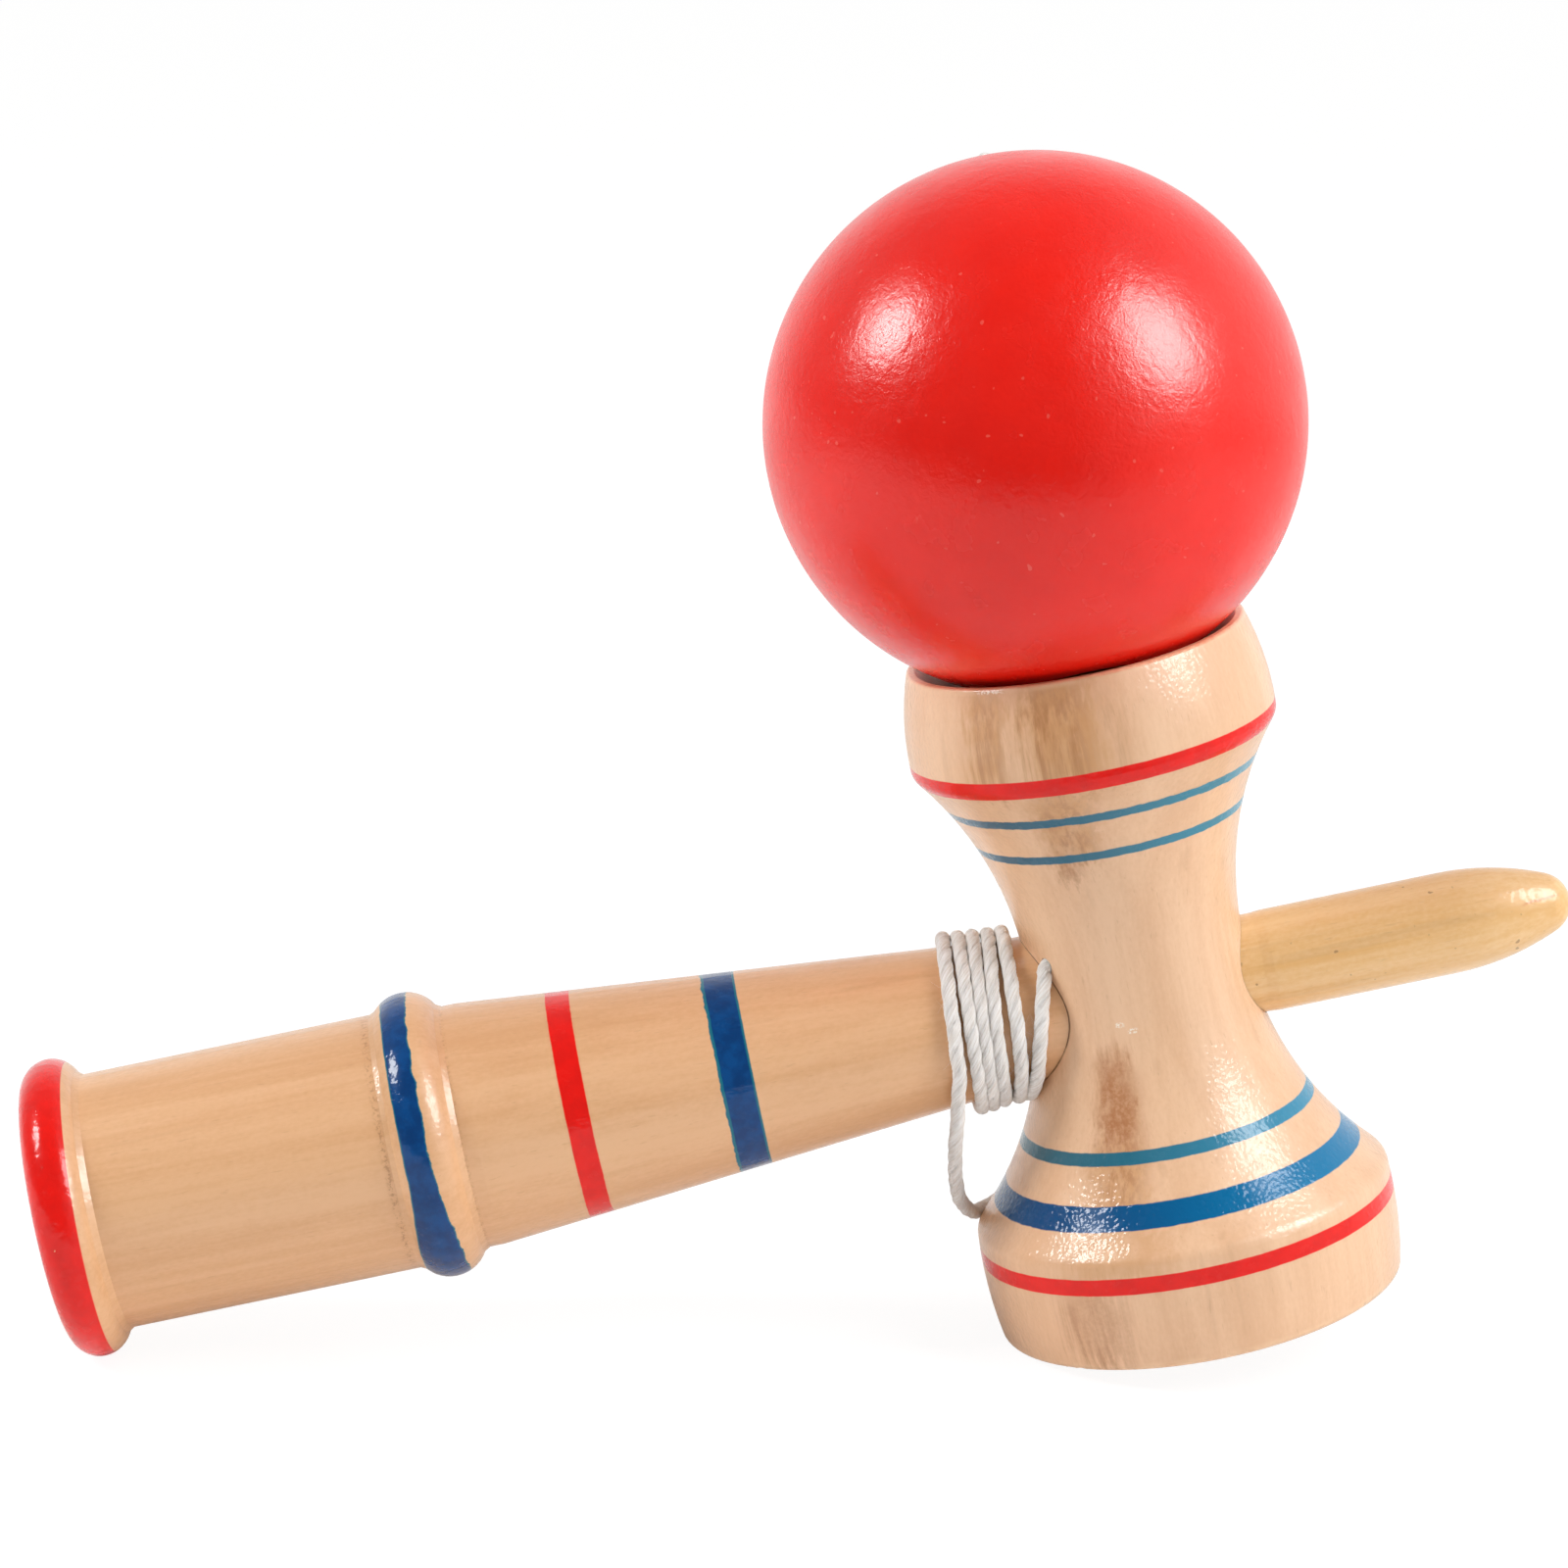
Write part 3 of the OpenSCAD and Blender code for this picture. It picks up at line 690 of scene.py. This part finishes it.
# Lacquer and paint
WOOD_IOR = 1.4
LACQUER_WEIGHT = 0.55
LACQUER_ROUGHNESS = 0.1
FINE_PITTING = 0.25
COARSE_PITTING = 1.1
BALL_IOR = 1.47
BALL_PAINT_DEPTHS = (1.2, 1.0)

# Places on the handle, in millimetres from the crosspiece's axis, and radii in its end
RED_BAND = (63.25, 65.95)
NAVY_BAND = (44.95, 48.15)
TEAL_UNDER_NAVY = (44.7, 48.5)
RING_PAINT_LOW = (80.3, 81.4)
RING_PAINT_HIGH = (84.85, 84.1)
RING_TEAL = 0.15
LEFT_OF_RING = (86.0, 86.5)
RIGHT_OF_RING = (77.5, 77.8)
END_PAINT = 120.85
END_PAINT_LEAN = -0.026
END_CUP = (118.5, 119)
END_CUP_R = (12.9, 13.2)
END_RIM_R = (13.35, 13.5)

# Levels and radii on the crosspiece, in millimetres, each as the two ends of a soft edge
DISH = (24, 26)
DISH_R = (17.9, 18.1)
CUP = (-28.5, -27.5)
CUP_R = (19.7, 19.95)
TOP_RIM = (39.9, 40.5)
BOTTOM_RIM = (-36.9, -36.1)

# Stains: tone, texture, strength, turn from the front, half turn, level and half height
STAINS = (
    (OCHRE_STAIN, "wash", 0.6, -38, 9, 35, 6),
    (BROWN_STAIN, "fibres", 0.45, -36, 7, 35, 7),
    (OCHRE_STAIN, "wash", 0.65, -13, 14, 35, 7),
    (BROWN_STAIN, "fibres", 0.5, -13, 12, 34, 8),
    (BROWN_STAIN, "fibres", 0.25, 5, 5, 34, 6),
    (OCHRE_STAIN, "wash", 0.6, -20, 14, 23.5, 5),
    (BROWN_STAIN, "fibres", 0.45, -17, 11, 23, 5),
    (BROWN_STAIN, "specks", 0.4, -24, 6, 18.5, 2),
    (WARM_STAIN, "specks", 0.8, -25, 12, -9, 5.5),
    (WARM_STAIN, "fibres", 0.45, -20, 12, -11, 7),
    (OCHRE_STAIN, "wash", 0.7, -27, 14, -17.5, 4),
    (BROWN_STAIN, "fibres", 0.35, -24, 11, -17.5, 4),
    (OCHRE_STAIN, "wash", 0.5, -24, 18, -24, 3),
    (BROWN_STAIN, "specks", 0.4, -34, 12, -32, 5),
    (BROWN_STAIN, "fibres", 0.35, -35, 11, -33, 5),
    (BROWN_STAIN, "fibres", 0.4, 128, 10, 10, 14),
    (OCHRE_STAIN, "wash", 0.45, -150, 14, -24, 8),
)

# Painted glints, small pale marks that stand in for the lamps' highlights on the rim's edge and on scratches: turn
# from the front, half turn, level and half height
GLINT_MARKS = ((-18, 2.5, -0.5, 0.3), (-12, 3, -1.3, 0.3), (-35, 6, 40.4, 0.25))

# Vein in the spike: bounds of its bent height and of its place along the spike
VEIN_HEIGHT = (1.75, 1.95)
VEIN_REACH = (43.5, 47.5)


def handle_finish():
    material, tree, shader = new_material("handle_lacquered_wood")
    place, x, y, z = wood_place(tree)
    colour, height = bare_wood(tree, place, "X", PALE_WOOD, WARM_WOOD, BROWN_WOOD)
    along = scaled(tree, x, -1.0)
    across = length_of(tree, y, z)
    # The cup in the end is darker, and the corners beside the ring hold dirt
    hollow = both(tree, rise(tree, along, *END_CUP), rise(tree, across, *END_CUP_R, 1.0, 0.0))
    colour = darker(tree, colour, scaled(tree, hollow, 0.12))
    specks = rise(tree, noise(tree, place, 2.6, 3, 0.6), 0.48, 0.62)
    left_corner = scaled(tree, between(tree, along, *LEFT_OF_RING, 0.4), 0.55)
    right_corner = scaled(tree, between(tree, along, *RIGHT_OF_RING, 0.3), 0.4)
    corners = both(tree, calc(tree, "ADD", left_corner, right_corner), specks)
    colour = mixed(tree, corners, colour, BROWN_STAIN)
    ragged = noise(tree, place, 0.45, 4, 0.6)
    whole = unchipped(tree, place)
    red = brushed(tree, place, RED_PAINT, DEEP_RED)
    navy = brushed(tree, place, NAVY_PAINT, NAVY_LIGHT)
    painted = 0.0
    # Ring: the brush strayed, and the paint is widest underneath
    ring_low = wandering(tree, ragged, rise(tree, z, -12, 1.5, *RING_PAINT_LOW), 0.9)
    ring_high = wandering(tree, ragged, rise(tree, z, -11, 0, *RING_PAINT_HIGH), 0.25)
    teal_low = calc(tree, "SUBTRACT", ring_low, RING_TEAL)
    teal_high = calc(tree, "ADD", ring_high, RING_TEAL)
    end_low = calc(tree, "MULTIPLY_ADD", z, END_PAINT_LEAN, END_PAINT)
    outside = rise(tree, across, *END_RIM_R)

    def band(edges, low_stray, high_stray):
        low, high = edges
        return wandering(tree, ragged, low, low_stray), wandering(tree, ragged, high, high_stray)

    for low, high, paint, cover in (
        (*band(RED_BAND, 0.25, 0.2), red, whole),
        (*band(TEAL_UNDER_NAVY, 0.15, 0.7), TEAL_EDGE, whole),
        (*band(NAVY_BAND, 0.15, 0.3), navy, whole),
        (teal_low, teal_high, TEAL_EDGE, whole),
        (ring_low, ring_high, navy, whole),
        (end_low, HANDLE_LEN + 1, red, both(tree, whole, outside)),
    ):
        mask = both(tree, between(tree, along, low, high), cover)
        colour = mixed(tree, mask, colour, paint)
        painted = calc(tree, "MAXIMUM", painted, mask)
    plug(tree, shader.inputs["Base Color"], colour)
    satin(tree, shader, place, painted, height, FINE_PITTING)
    return material


def patch(tree, angle, level, turn, half_turn, height, half_height):
    """One in a soft-edged patch. The turn from the front and the half turn are in degrees."""
    aside = calc(tree, "ABSOLUTE", calc(tree, "SUBTRACT", angle, math.radians(turn)))
    above = calc(tree, "ABSOLUTE", calc(tree, "SUBTRACT", level, height))
    reach = math.radians(half_turn)
    across = rise(tree, aside, 0.35 * reach, 1.2 * reach, 1.0, 0.0)
    along = rise(tree, above, 0.5 * half_height, 1.25 * half_height, 1.0, 0.0)
    return both(tree, across, along)


def stained(tree, colour, place, angle, level):
    """Ochre and brown stains in the wood: washes, specks and streaks along the grain."""
    streaks = noise(tree, stretched(tree, place, (1.3, 1.3, 0.05)), 1, 4, 0.65)
    fibres = rise(tree, streaks, 0.38, 0.68)
    wash = rise(tree, noise(tree, place, 0.3, 3), 0.25, 0.6, 0.55, 1.0)
    specks = both(tree, wash, rise(tree, noise(tree, place, 2.2, 3, 0.6), 0.34, 0.62, 0.7, 1.0))
    angle = calc(tree, "MULTIPLY_ADD", calc(tree, "SUBTRACT", streaks, 0.5), 0.3, angle)
    level = calc(tree, "MULTIPLY_ADD", calc(tree, "SUBTRACT", streaks, 0.5), 8.0, level)
    textures = {"wash": wash, "fibres": fibres, "specks": specks}
    for tone, texture, strength, *where in STAINS:
        share = both(tree, patch(tree, angle, level, *where), textures[texture])
        colour = mixed(tree, scaled(tree, share, strength), colour, tone)
    return colour


def glinted(tree, colour, place, angle, level):
    """Tiny pale marks painted in as the lamps' glints on the rim's edge and on scratches in the lacquer."""
    broken = rise(tree, noise(tree, place, 4, 2), 0.46, 0.54)
    for where in GLINT_MARKS:
        share = both(tree, patch(tree, angle, level, *where), broken)
        colour = mixed(tree, scaled(tree, share, 0.9), colour, GLINT_WHITE)
    return colour


def crosspiece_finish():
    material, tree, shader = new_material("crosspiece_lacquered_wood")
    place, x, y, z = wood_place(tree)
    plain, height = bare_wood(tree, place, "Z", ROSY_WOOD, ROSY_GRAIN, BROWN_WOOD)
    angle = calc(tree, "ARCTAN2", x, scaled(tree, y, -1.0))
    colour = stained(tree, plain, place, angle, z)
    # Painted highlights: a few pale glints on the rim's edge and on scratches
    colour = glinted(tree, colour, place, angle, z)
    across = length_of(tree, x, y)
    # The hollows show darker plain wood, and the rims are rubbed pale in places
    in_dish = both(tree, rise(tree, z, *DISH), rise(tree, across, *DISH_R, 1.0, 0.0))
    in_cup = both(tree, rise(tree, z, *CUP, 1.0, 0.0), rise(tree, across, *CUP_R, 1.0, 0.0))
    hollow = calc(tree, "MAXIMUM", in_dish, in_cup)
    colour = mixed(tree, hollow, colour, darker(tree, plain, 0.2))
    rims = calc(tree, "MAXIMUM", rise(tree, z, *TOP_RIM), rise(tree, z, *BOTTOM_RIM, 1.0, 0.0))
    rubbed = both(tree, rims, rise(tree, noise(tree, place, 0.35, 3), 0.35, 0.65))
    colour = mixed(tree, scaled(tree, rubbed, 0.45), colour, BURNISHED_WOOD)
    ragged = noise(tree, place, 0.6, 4, 0.6)
    # Painted light: the blue and teal paints turn clearer towards the right, where the brighter light falls
    lit_towards_right = rise(tree, x, -14, 18)
    red = brushed(tree, place, RED_PAINT, DEEP_RED)
    blue = mixed(tree, lit_towards_right, SHADED_BLUE, LIT_BLUE)
    teal = mixed(tree, lit_towards_right, SHADED_TEAL, LIT_TEAL)
    thin_blue = mixed(tree, lit_towards_right, SHADED_THIN_BLUE, LIT_THIN_BLUE)
    painted = 0.0
    # Painted rings: middle, width, stray of the edges, paint and cover
    for middle, width, stray, paint, cover in (
        (29.44, 2.08, 0.12, red, 1.0),
        (24.7, 1.05, 0.4, thin_blue, 0.95),
        (19.85, 1.0, 0.3, thin_blue, 0.95),
        (-14.67, 1.35, 0.2, teal, 0.96),
        (-20.39, 2.4, 0.2, blue, 1.0),
        (-27.09, 1.9, 0.12, red, 1.0),
    ):
        low = wandering(tree, ragged, middle - width / 2, stray)
        high = wandering(tree, ragged, middle + width / 2, -stray)
        mask = scaled(tree, between(tree, z, low, high), cover)
        colour = mixed(tree, mask, colour, paint)
        painted = calc(tree, "MAXIMUM", painted, mask)
    # Painted shade: a dark seam at the edge of the handle's socket and, less, of the spike's hole, for the shadow
    # in the joints' narrow gaps
    axis_off = length_of(tree, y, z)
    socket = rise(tree, axis_off, NECK_R + 0.12, NECK_R + 0.3, 1.0, 0.0)
    socket = both(tree, socket, rise(tree, x, -1.0, 0.0, 1.0, 0.0))
    spike_hole = rise(tree, axis_off, SPIKE_TAIL_R + 0.1, SPIKE_TAIL_R + 0.25, 1.0, 0.0)
    spike_hole = both(tree, spike_hole, rise(tree, x, 0.0, 1.0, 0.0, 0.5))
    seam_shade = calc(tree, "ADD", socket, spike_hole)
    seam_shade = both(tree, seam_shade, rise(tree, ragged, 0.3, 0.55, 0.35, 0.9))
    colour = mixed(tree, seam_shade, colour, SEAM_SHADE_BROWN)
    plug(tree, shader.inputs["Base Color"], colour)
    satin(tree, shader, place, painted, height, COARSE_PITTING)
    return material


def spike_finish():
    material, tree, shader = new_material("spike_yellow_wood")
    place, x, y, z = wood_place(tree)
    colour, height = bare_wood(tree, place, "X", STRAW_WOOD, STRAW_GRAIN, STRAW_BROWN)
    specks = rise(tree, noise(tree, place, 0.8, 1), 0.74, 0.79)
    colour = mixed(tree, scaled(tree, specks, 0.55), colour, SPECK_BROWN)
    # A short reddish vein near the tip
    vein_bend = calc(tree, "MULTIPLY_ADD", noise(tree, place, 0.6, 2), 0.8, z)
    vein = both(tree, between(tree, vein_bend, *VEIN_HEIGHT, 0.15), between(tree, x, *VEIN_REACH, 0.6))
    vein = both(tree, vein, rise(tree, y, -1.0, 0.0, 1.0, 0.0))
    colour = mixed(tree, scaled(tree, vein, 0.6), colour, RED_VEIN)
    plug(tree, shader.inputs["Base Color"], colour)
    satin(tree, shader, place, 0.0, height, FINE_PITTING)
    return material


def bead_finish():
    material, tree, shader = new_material("bead_wood")
    place, *_ = wood_place(tree)
    colour, height = bare_wood(tree, place, "Z", BEAD_WOOD, BEAD_GRAIN, BEAD_BROWN)
    plug(tree, shader.inputs["Base Color"], colour)
    dull = rise(tree, noise(tree, place, 1.2, 3), 0.2, 0.8, 0.4, 0.62)
    plug(tree, shader.inputs["Roughness"], dull)
    plug(tree, shader.inputs["Normal"], bumped(tree, height, 0.2, 0.0001))
    return material


def ball_finish():
    material, tree, shader = new_material("ball_red_lacquer")
    coordinates = tree.nodes.new("ShaderNodeTexCoord")
    place = stretched(tree, coordinates.outputs["Object"], (1 / MM,) * 3, tuple(-ball_mid / MM))
    distance = tree.nodes.new("ShaderNodeVectorMath")
    distance.operation = "LENGTH"
    plug(tree, distance.inputs[0], place)
    tone = noise(tree, place, 0.09, 4, 0.55)
    colour = mixed(tree, rise(tree, tone, 0.3, 0.7), BALL_RED, BALL_LIGHT_RED)
    specks = rise(tree, noise(tree, place, 1.2, 0), 0.82, 0.85)
    colour = mixed(tree, scaled(tree, specks, 0.4), colour, BALL_SPECK)
    # The bore and the pocket are bare wood, with paint on their edges alone
    inner, _ = bare_wood(tree, place, "Z", PALE_WOOD, WARM_WOOD, BROWN_WOOD)
    edge = calc(tree, "MULTIPLY_ADD", noise(tree, place, 0.8, 3), 0.5, distance.outputs["Value"])
    deep, shallow = BALL_PAINT_DEPTHS
    painted = rise(tree, edge, BALL_R - deep, BALL_R - shallow)
    colour = mixed(tree, painted, inner, colour)
    plug(tree, shader.inputs["Base Color"], colour)
    dull = rise(tree, noise(tree, place, 0.25, 3), 0.3, 0.7, 0.22, 0.28)
    plug(tree, shader.inputs["Roughness"], dull)
    # The paint's skin is dimpled, and finely wrinkled in places
    dimples = noise(tree, place, 0.62, 3, 0.55, 0.6)
    wrinkles = rise(tree, noise(tree, place, 1.5, 2, 0.5, 1.2), 0.3, 0.7)
    skin = calc(tree, "MULTIPLY_ADD", wrinkles, 0.18, dimples)
    plug(tree, shader.inputs["Normal"], bumped(tree, skin, 0.22, 0.0003))
    shader.inputs["IOR"].default_value = BALL_IOR
    return material


def cord_finish():
    material, tree, shader = new_material("cord_cotton")
    coordinates = tree.nodes.new("ShaderNodeTexCoord")
    girth = coordinates.outputs["UV"]
    fibre = noise(tree, stretched(tree, girth, (4.5, 0.4, 1)), 1, 4, 0.65)
    tuft = noise(tree, stretched(tree, girth, (1.2, 0.5, 1)), 1, 3)
    colour = mixed(tree, rise(tree, fibre, 0.34, 0.62), COTTON_SHADE, COTTON_WHITE)
    tufts = scaled(tree, rise(tree, tuft, 0.5, 0.75), 0.25)
    colour = mixed(tree, tufts, colour, COTTON_TUFT)
    plug(tree, shader.inputs["Base Color"], colour)
    plug(tree, shader.inputs["Normal"], bumped(tree, fibre, 0.8, 0.0002))
    plug(tree, shader.inputs["Roughness"], rise(tree, fibre, 0.2, 0.8, 0.75, 0.95))
    shader.inputs["Subsurface Weight"].default_value = 0.35
    shader.inputs["Subsurface Radius"].default_value = (1, 0.95, 0.9)
    shader.inputs["Subsurface Scale"].default_value = 0.0006
    shader.inputs["Sheen Weight"].default_value = 0.4
    shader.inputs["Sheen Roughness"].default_value = 0.5
    shader.inputs["Specular IOR Level"].default_value = 0.2
    return material


def dress(node, material):
    slots = nodes[node].data.materials
    slots.clear()
    slots.append(material)


# Stage

FLOOR_FRONT = -0.3
FLOOR_BACK = 2.4
FLOOR_SIDE = 2.2
# The floor as it lights the toy, and as the camera sees it
FLOOR_PALE = 0.85
FLOOR_LIGHT = 0.1
FLOOR_SEEN = 0.15
FLOOR_GLOW = 0.92
# The room's colour, and its strength on the right, towards the viewer, behind and, as a share, below
ROOM_WHITE = (1, 0.985, 0.97, 1)
ROOM_RIGHT = 0.72
ROOM_FRONT = 0.22
ROOM_BEHIND = 0.46
ROOM_BELOW = 0.35
# Lamps: direction from the ball, size, power, and further power that shows in gloss alone
LAMP_DISTANCE = 0.75
LAMPS = {
    "left": ((-0.828, -0.080, 0.553), (0.245, 0.28), 3.35, 1.9),
    "right": ((0.708, -0.397, 0.584), (0.36, 0.52), 3.6, 8.3),
}


def shown_white(tree, far):
    """One for rays that see the background itself, and for gloss where it is far behind the toy."""
    path = tree.nodes.new("ShaderNodeLightPath")
    seen = calc(tree, "MAXIMUM", path.outputs["Is Camera Ray"], path.outputs["Is Transmission Ray"])
    return calc(tree, "MAXIMUM", seen, both(tree, path.outputs["Is Glossy Ray"], far))


def lay_floor():
    bpy.ops.object.select_all(action="DESELECT")
    bpy.ops.mesh.primitive_plane_add(size=1)
    floor = bpy.context.object
    floor.name = "floor"
    middle = (FLOOR_FRONT + FLOOR_BACK) / 2
    depth = FLOOR_BACK - FLOOR_FRONT
    for corner in floor.data.vertices:
        corner.co = (2 * FLOOR_SIDE * corner.co.x, middle + depth * corner.co.y, 0)
    material, tree, shader = new_material("pale_floor")
    shader.inputs["Base Color"].default_value = (FLOOR_PALE, FLOOR_PALE, FLOOR_PALE, 1)
    shader.inputs["Emission Color"].default_value = (1, 1, 1, 1)
    shader.inputs["Emission Strength"].default_value = FLOOR_LIGHT
    shader.inputs["Roughness"].default_value = 0.9
    shader.inputs["Specular IOR Level"].default_value = 0.0
    shade = tree.nodes.new("ShaderNodeBsdfDiffuse")
    shade.inputs["Color"].default_value = (FLOOR_SEEN, FLOOR_SEEN, FLOOR_SEEN, 1)
    glow = tree.nodes.new("ShaderNodeEmission")
    glow.inputs["Strength"].default_value = FLOOR_GLOW
    white = tree.nodes.new("ShaderNodeAddShader")
    tree.links.new(shade.outputs[0], white.inputs[0])
    tree.links.new(glow.outputs[0], white.inputs[1])
    coordinates = tree.nodes.new("ShaderNodeTexCoord")
    parts = tree.nodes.new("ShaderNodeSeparateXYZ")
    tree.links.new(coordinates.outputs["Object"], parts.inputs[0])
    blend = tree.nodes.new("ShaderNodeMixShader")
    plug(tree, blend.inputs[0], shown_white(tree, rise(tree, parts.outputs[1], 0.2, 0.8)))
    tree.links.new(shader.outputs[0], blend.inputs[1])
    tree.links.new(white.outputs[0], blend.inputs[2])
    tree.links.new(blend.outputs[0], tree.nodes["Material Output"].inputs["Surface"])
    floor.data.materials.append(material)


def light_room():
    """White behind the toy, brighter on the right, and dim towards the viewer and the floor."""
    world = bpy.data.worlds.new("studio")
    bpy.context.scene.world = world
    world.use_nodes = True
    tree = world.node_tree
    tree.nodes.clear()
    coordinates = tree.nodes.new("ShaderNodeTexCoord")
    parts = tree.nodes.new("ShaderNodeSeparateXYZ")
    tree.links.new(coordinates.outputs["Generated"], parts.inputs[0])
    right = rise(tree, parts.outputs[0], 0.1, 0.9, 0.0, ROOM_RIGHT)
    behind = rise(tree, parts.outputs[1], -0.5, 0.6, ROOM_FRONT, ROOM_BEHIND)
    above = rise(tree, parts.outputs[2], -0.35, 0.05, ROOM_BELOW, 1.0)
    room = tree.nodes.new("ShaderNodeBackground")
    room.inputs["Color"].default_value = ROOM_WHITE
    plug(tree, room.inputs["Strength"], both(tree, calc(tree, "ADD", right, behind), above))
    white = tree.nodes.new("ShaderNodeBackground")
    white.inputs["Color"].default_value = (1, 1, 1, 1)
    blend = tree.nodes.new("ShaderNodeMixShader")
    plug(tree, blend.inputs[0], shown_white(tree, rise(tree, parts.outputs[1], 0.5, 0.95)))
    tree.links.new(room.outputs[0], blend.inputs[1])
    tree.links.new(white.outputs[0], blend.inputs[2])
    output = tree.nodes.new("ShaderNodeOutputWorld")
    tree.links.new(blend.outputs[0], output.inputs["Surface"])


def hang_lamp(name, way, size, power, only_gloss=False):
    """A soft round lamp in a direction from the ball, facing it. It may show in gloss alone."""
    lamp = bpy.data.lights.new(name, "AREA")
    lamp.shape = "ELLIPSE"
    lamp.size, lamp.size_y = size
    lamp.energy = power
    holder = bpy.data.objects.new(name, lamp)
    bpy.context.scene.collection.objects.link(holder)
    way = Vector(way).normalized()
    holder.location = ball_mid + LAMP_DISTANCE * way
    holder.rotation_euler = (-way).to_track_quat("-Z", "Y").to_euler()
    holder.visible_diffuse = not only_gloss


set_camera()

route = cord_route()
cord = laid_cord("cord", route, PLY_R * MM, PLY_OFFSET * MM, LAY_LENGTH * MM)
fibres = loose_fibres("cord_fibres", route, FIBRE_COUNT, FIBRE_SEED)
knot = laid_cord("knot", knot_route(), KNOT_PLY_R * MM, KNOT_PLY_OFFSET * MM, KNOT_LAY_LENGTH * MM)
cotton = cord_finish()
for piece in (cord, fibres, knot):
    piece.data.materials.append(cotton)
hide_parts("cord_winding", "cord_free")
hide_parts("cord_knot")
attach(knot, "cord_end")
for piece in (cord, fibres):
    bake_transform(piece)
tuple(on_neck(TURN_PLACES[0][0]))

dress("handle", handle_finish())
dress("crosspiece", crosspiece_finish())
dress("spike", spike_finish())
dress("bead", bead_finish())

ball = turned("turned_ball", ball_outline(), ball_mid, ball_up, BALL_STEPS)
ball.data.materials.append(ball_finish())
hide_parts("ball")
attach(ball, "ball")

lay_floor()
light_room()
for side, (way, size, power, sheen) in LAMPS.items():
    hang_lamp(side + "_lamp", way, size, power)
    hang_lamp(side + "_sheen", way, size, sheen, only_gloss=True)

bpy.context.scene.view_settings.view_transform = "Standard"
